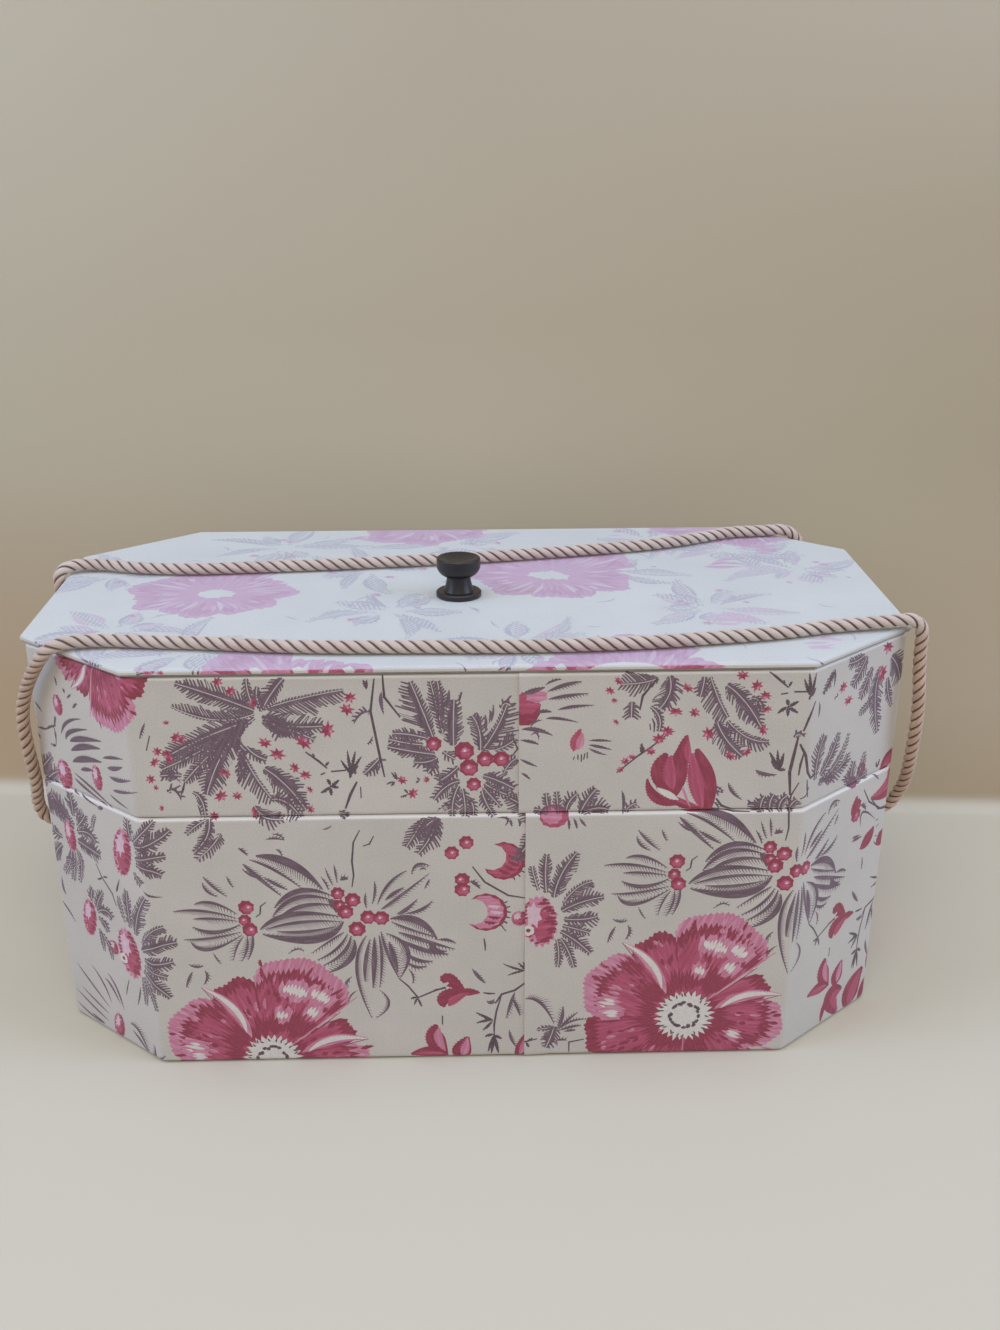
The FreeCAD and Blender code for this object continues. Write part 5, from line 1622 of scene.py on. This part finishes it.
# Cords in place of the frame's tubes

for name, side in (("front_cord", -1), ("back_cord", 1)):
    rope = cords[name]
    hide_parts(name)
    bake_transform(rope)


# Floor, backdrop and light: each lamp's place and size in metres, power in watts and colour

lamp_target = (0, 0, 0.1)
lamps = {
    "overhead": ((0.0, 0.1, 1.7), (1.8, 1.2), 22, "cfe0ff"),
    "front_fill": ((-0.1, -1.5, 1.5), (1.6, 0.8), 12.5, "fff3e8"),
    "left_window": ((-1.5, -0.5, 0.9), (1.0, 1.2), 14, "bcd4ff"),
    "right_window": ((1.5, -0.5, 0.9), (1.0, 1.2), 15.5, "bcd4ff"),
}
sky_colour, sky_strength = "e9e6e0", 0.42
room_colour, room_strength = "c2b8a5", 0.87


def area_light(name, place, size, power, colour):
    data = bpy.data.lights.new(name, "AREA")
    data.shape = "RECTANGLE"
    data.size, data.size_y = size
    data.energy = power
    data.color = linear(colour)[:3]
    lamp = link(name, data)
    lamp.location = place
    lamp.rotation_euler = (Vector(lamp_target) - Vector(place)).to_track_quat("-Z", "Y").to_euler()


# The wall stands a little askew behind the box, and the floor meets it in a small hollow
floor_reach = 3000
wall_foot = 176.0
wall_turn = -0.081
sweep = 9.0
sweep_steps = 8
wall_heights = (150, 300, 600, floor_reach)

# Its paint changes up the wall and from the middle to the sides, over these lengths in metres, with painted
# light and shade in it: darker near its foot and to the right, lighter in the middle just above the box
paint_and_light_height = 0.5
paint_and_light_half_width = 1 / 3
left_paint_and_light = ((0.008, "c7bfaa"), (0.022, "b9a183"), (0.15, "b59d7f"), (0.32, "b3a288"), (0.46, "b7ad95"),
              (0.9, "beb5a1"))
middle_paint_and_light = ((0.008, "c7bfaa"), (0.022, "bba98c"), (0.39, "c2b69a"), (0.47, "c1b499"), (0.6, "b6a98f"),
                (0.9, "b3a892"))
right_paint_and_light = ((0.008, "c7bfaa"), (0.022, "b2a184"), (0.15, "b9a990"), (0.33, "b3a488"), (0.47, "ac9d82"),
               (0.72, "ae9f86"), (0.92, "b6ab96"))


def wall_and_floor():
    """Floor, hollow and wall in one sheet, and a second floor that carries on behind the wall."""
    angles = [math.pi / 2 * i / sweep_steps for i in range(sweep_steps + 1)]
    profile = [(-floor_reach, 0)]
    profile += [(wall_foot - sweep + sweep * math.sin(a), sweep - sweep * math.cos(a)) for a in angles]
    profile += [(wall_foot, height) for height in wall_heights]
    ends = (-floor_reach, floor_reach)
    points = [(x, y + wall_turn * x * (y > 0), z) for x in ends for y, z in profile]
    last = len(profile)
    faces = [(i, last + i, last + i + 1, i + 1) for i in range(last - 1)]
    points += [(x, y, 0) for x in ends for y in (wall_foot - sweep + wall_turn * x, floor_reach)]
    faces.append((2 * last, 2 * last + 2, 2 * last + 3, 2 * last + 1))
    return mesh_piece("wall_and_floor", points, faces, [wall_paint_and_light()])


def wall_paint_and_light():
    """Pale floor and a wall behind it, warm grey with painted light and shade that darken it towards its
    foot, clear from behind.
    """
    material, tree, surface = new_material("wall_and_floor_paint_and_light")
    geometry = node(tree, "NewGeometry")
    place = node(tree, "SeparateXYZ", i0=geometry.outputs["Position"])
    height = node(tree, "Math", times, i0=place.outputs[2], i1=1 / paint_and_light_height)
    along = node(tree, "Math", times, i0=place.outputs[0], i1=1 / paint_and_light_half_width)
    before = node(tree, "Math", {"operation": "ADD"}, i0=along, i1=1.0)
    left, middle, right = (node(tree, "ValToRGB", stops=stops, i0=height)
                           for stops in (left_paint_and_light, middle_paint_and_light, right_paint_and_light))
    colour = node(tree, "Mix", colours, i0=before, i6=left, i7=middle).outputs[2]
    colour = node(tree, "Mix", colours, i0=along, i6=colour, i7=right).outputs[2]
    wire(tree, surface, Base_Color=colour, Roughness=0.9)
    clear = node(tree, "BsdfTransparent")
    faced = node(tree, "MixShader", i0=geometry.outputs["Backfacing"], i1=surface, i2=clear)
    wire(tree, tree.nodes["Material Output"], Surface=faced)
    return material


def make_world():
    """A pale sky that lights the box softly, while the camera sees the colour of the room."""
    world = bpy.data.worlds.new("soft_world")
    world.use_nodes = True
    tree = world.node_tree
    seen = node(tree, "LightPath").outputs["Is Camera Ray"]
    shown = node(tree, "Mix", colours, i0=seen, i6=linear(sky_colour), i7=linear(room_colour)).outputs[2]
    strength = node(tree, "Math", times_plus, i0=seen, i1=room_strength - sky_strength,
                    i2=sky_strength)
    wire(tree, tree.nodes["Background"], Color=shown, Strength=strength)
    bpy.context.scene.world = world


wall_and_floor()
for name, settings in lamps.items():
    area_light(name, *settings)
make_world()
bpy.context.scene.view_settings.view_transform = "Standard"
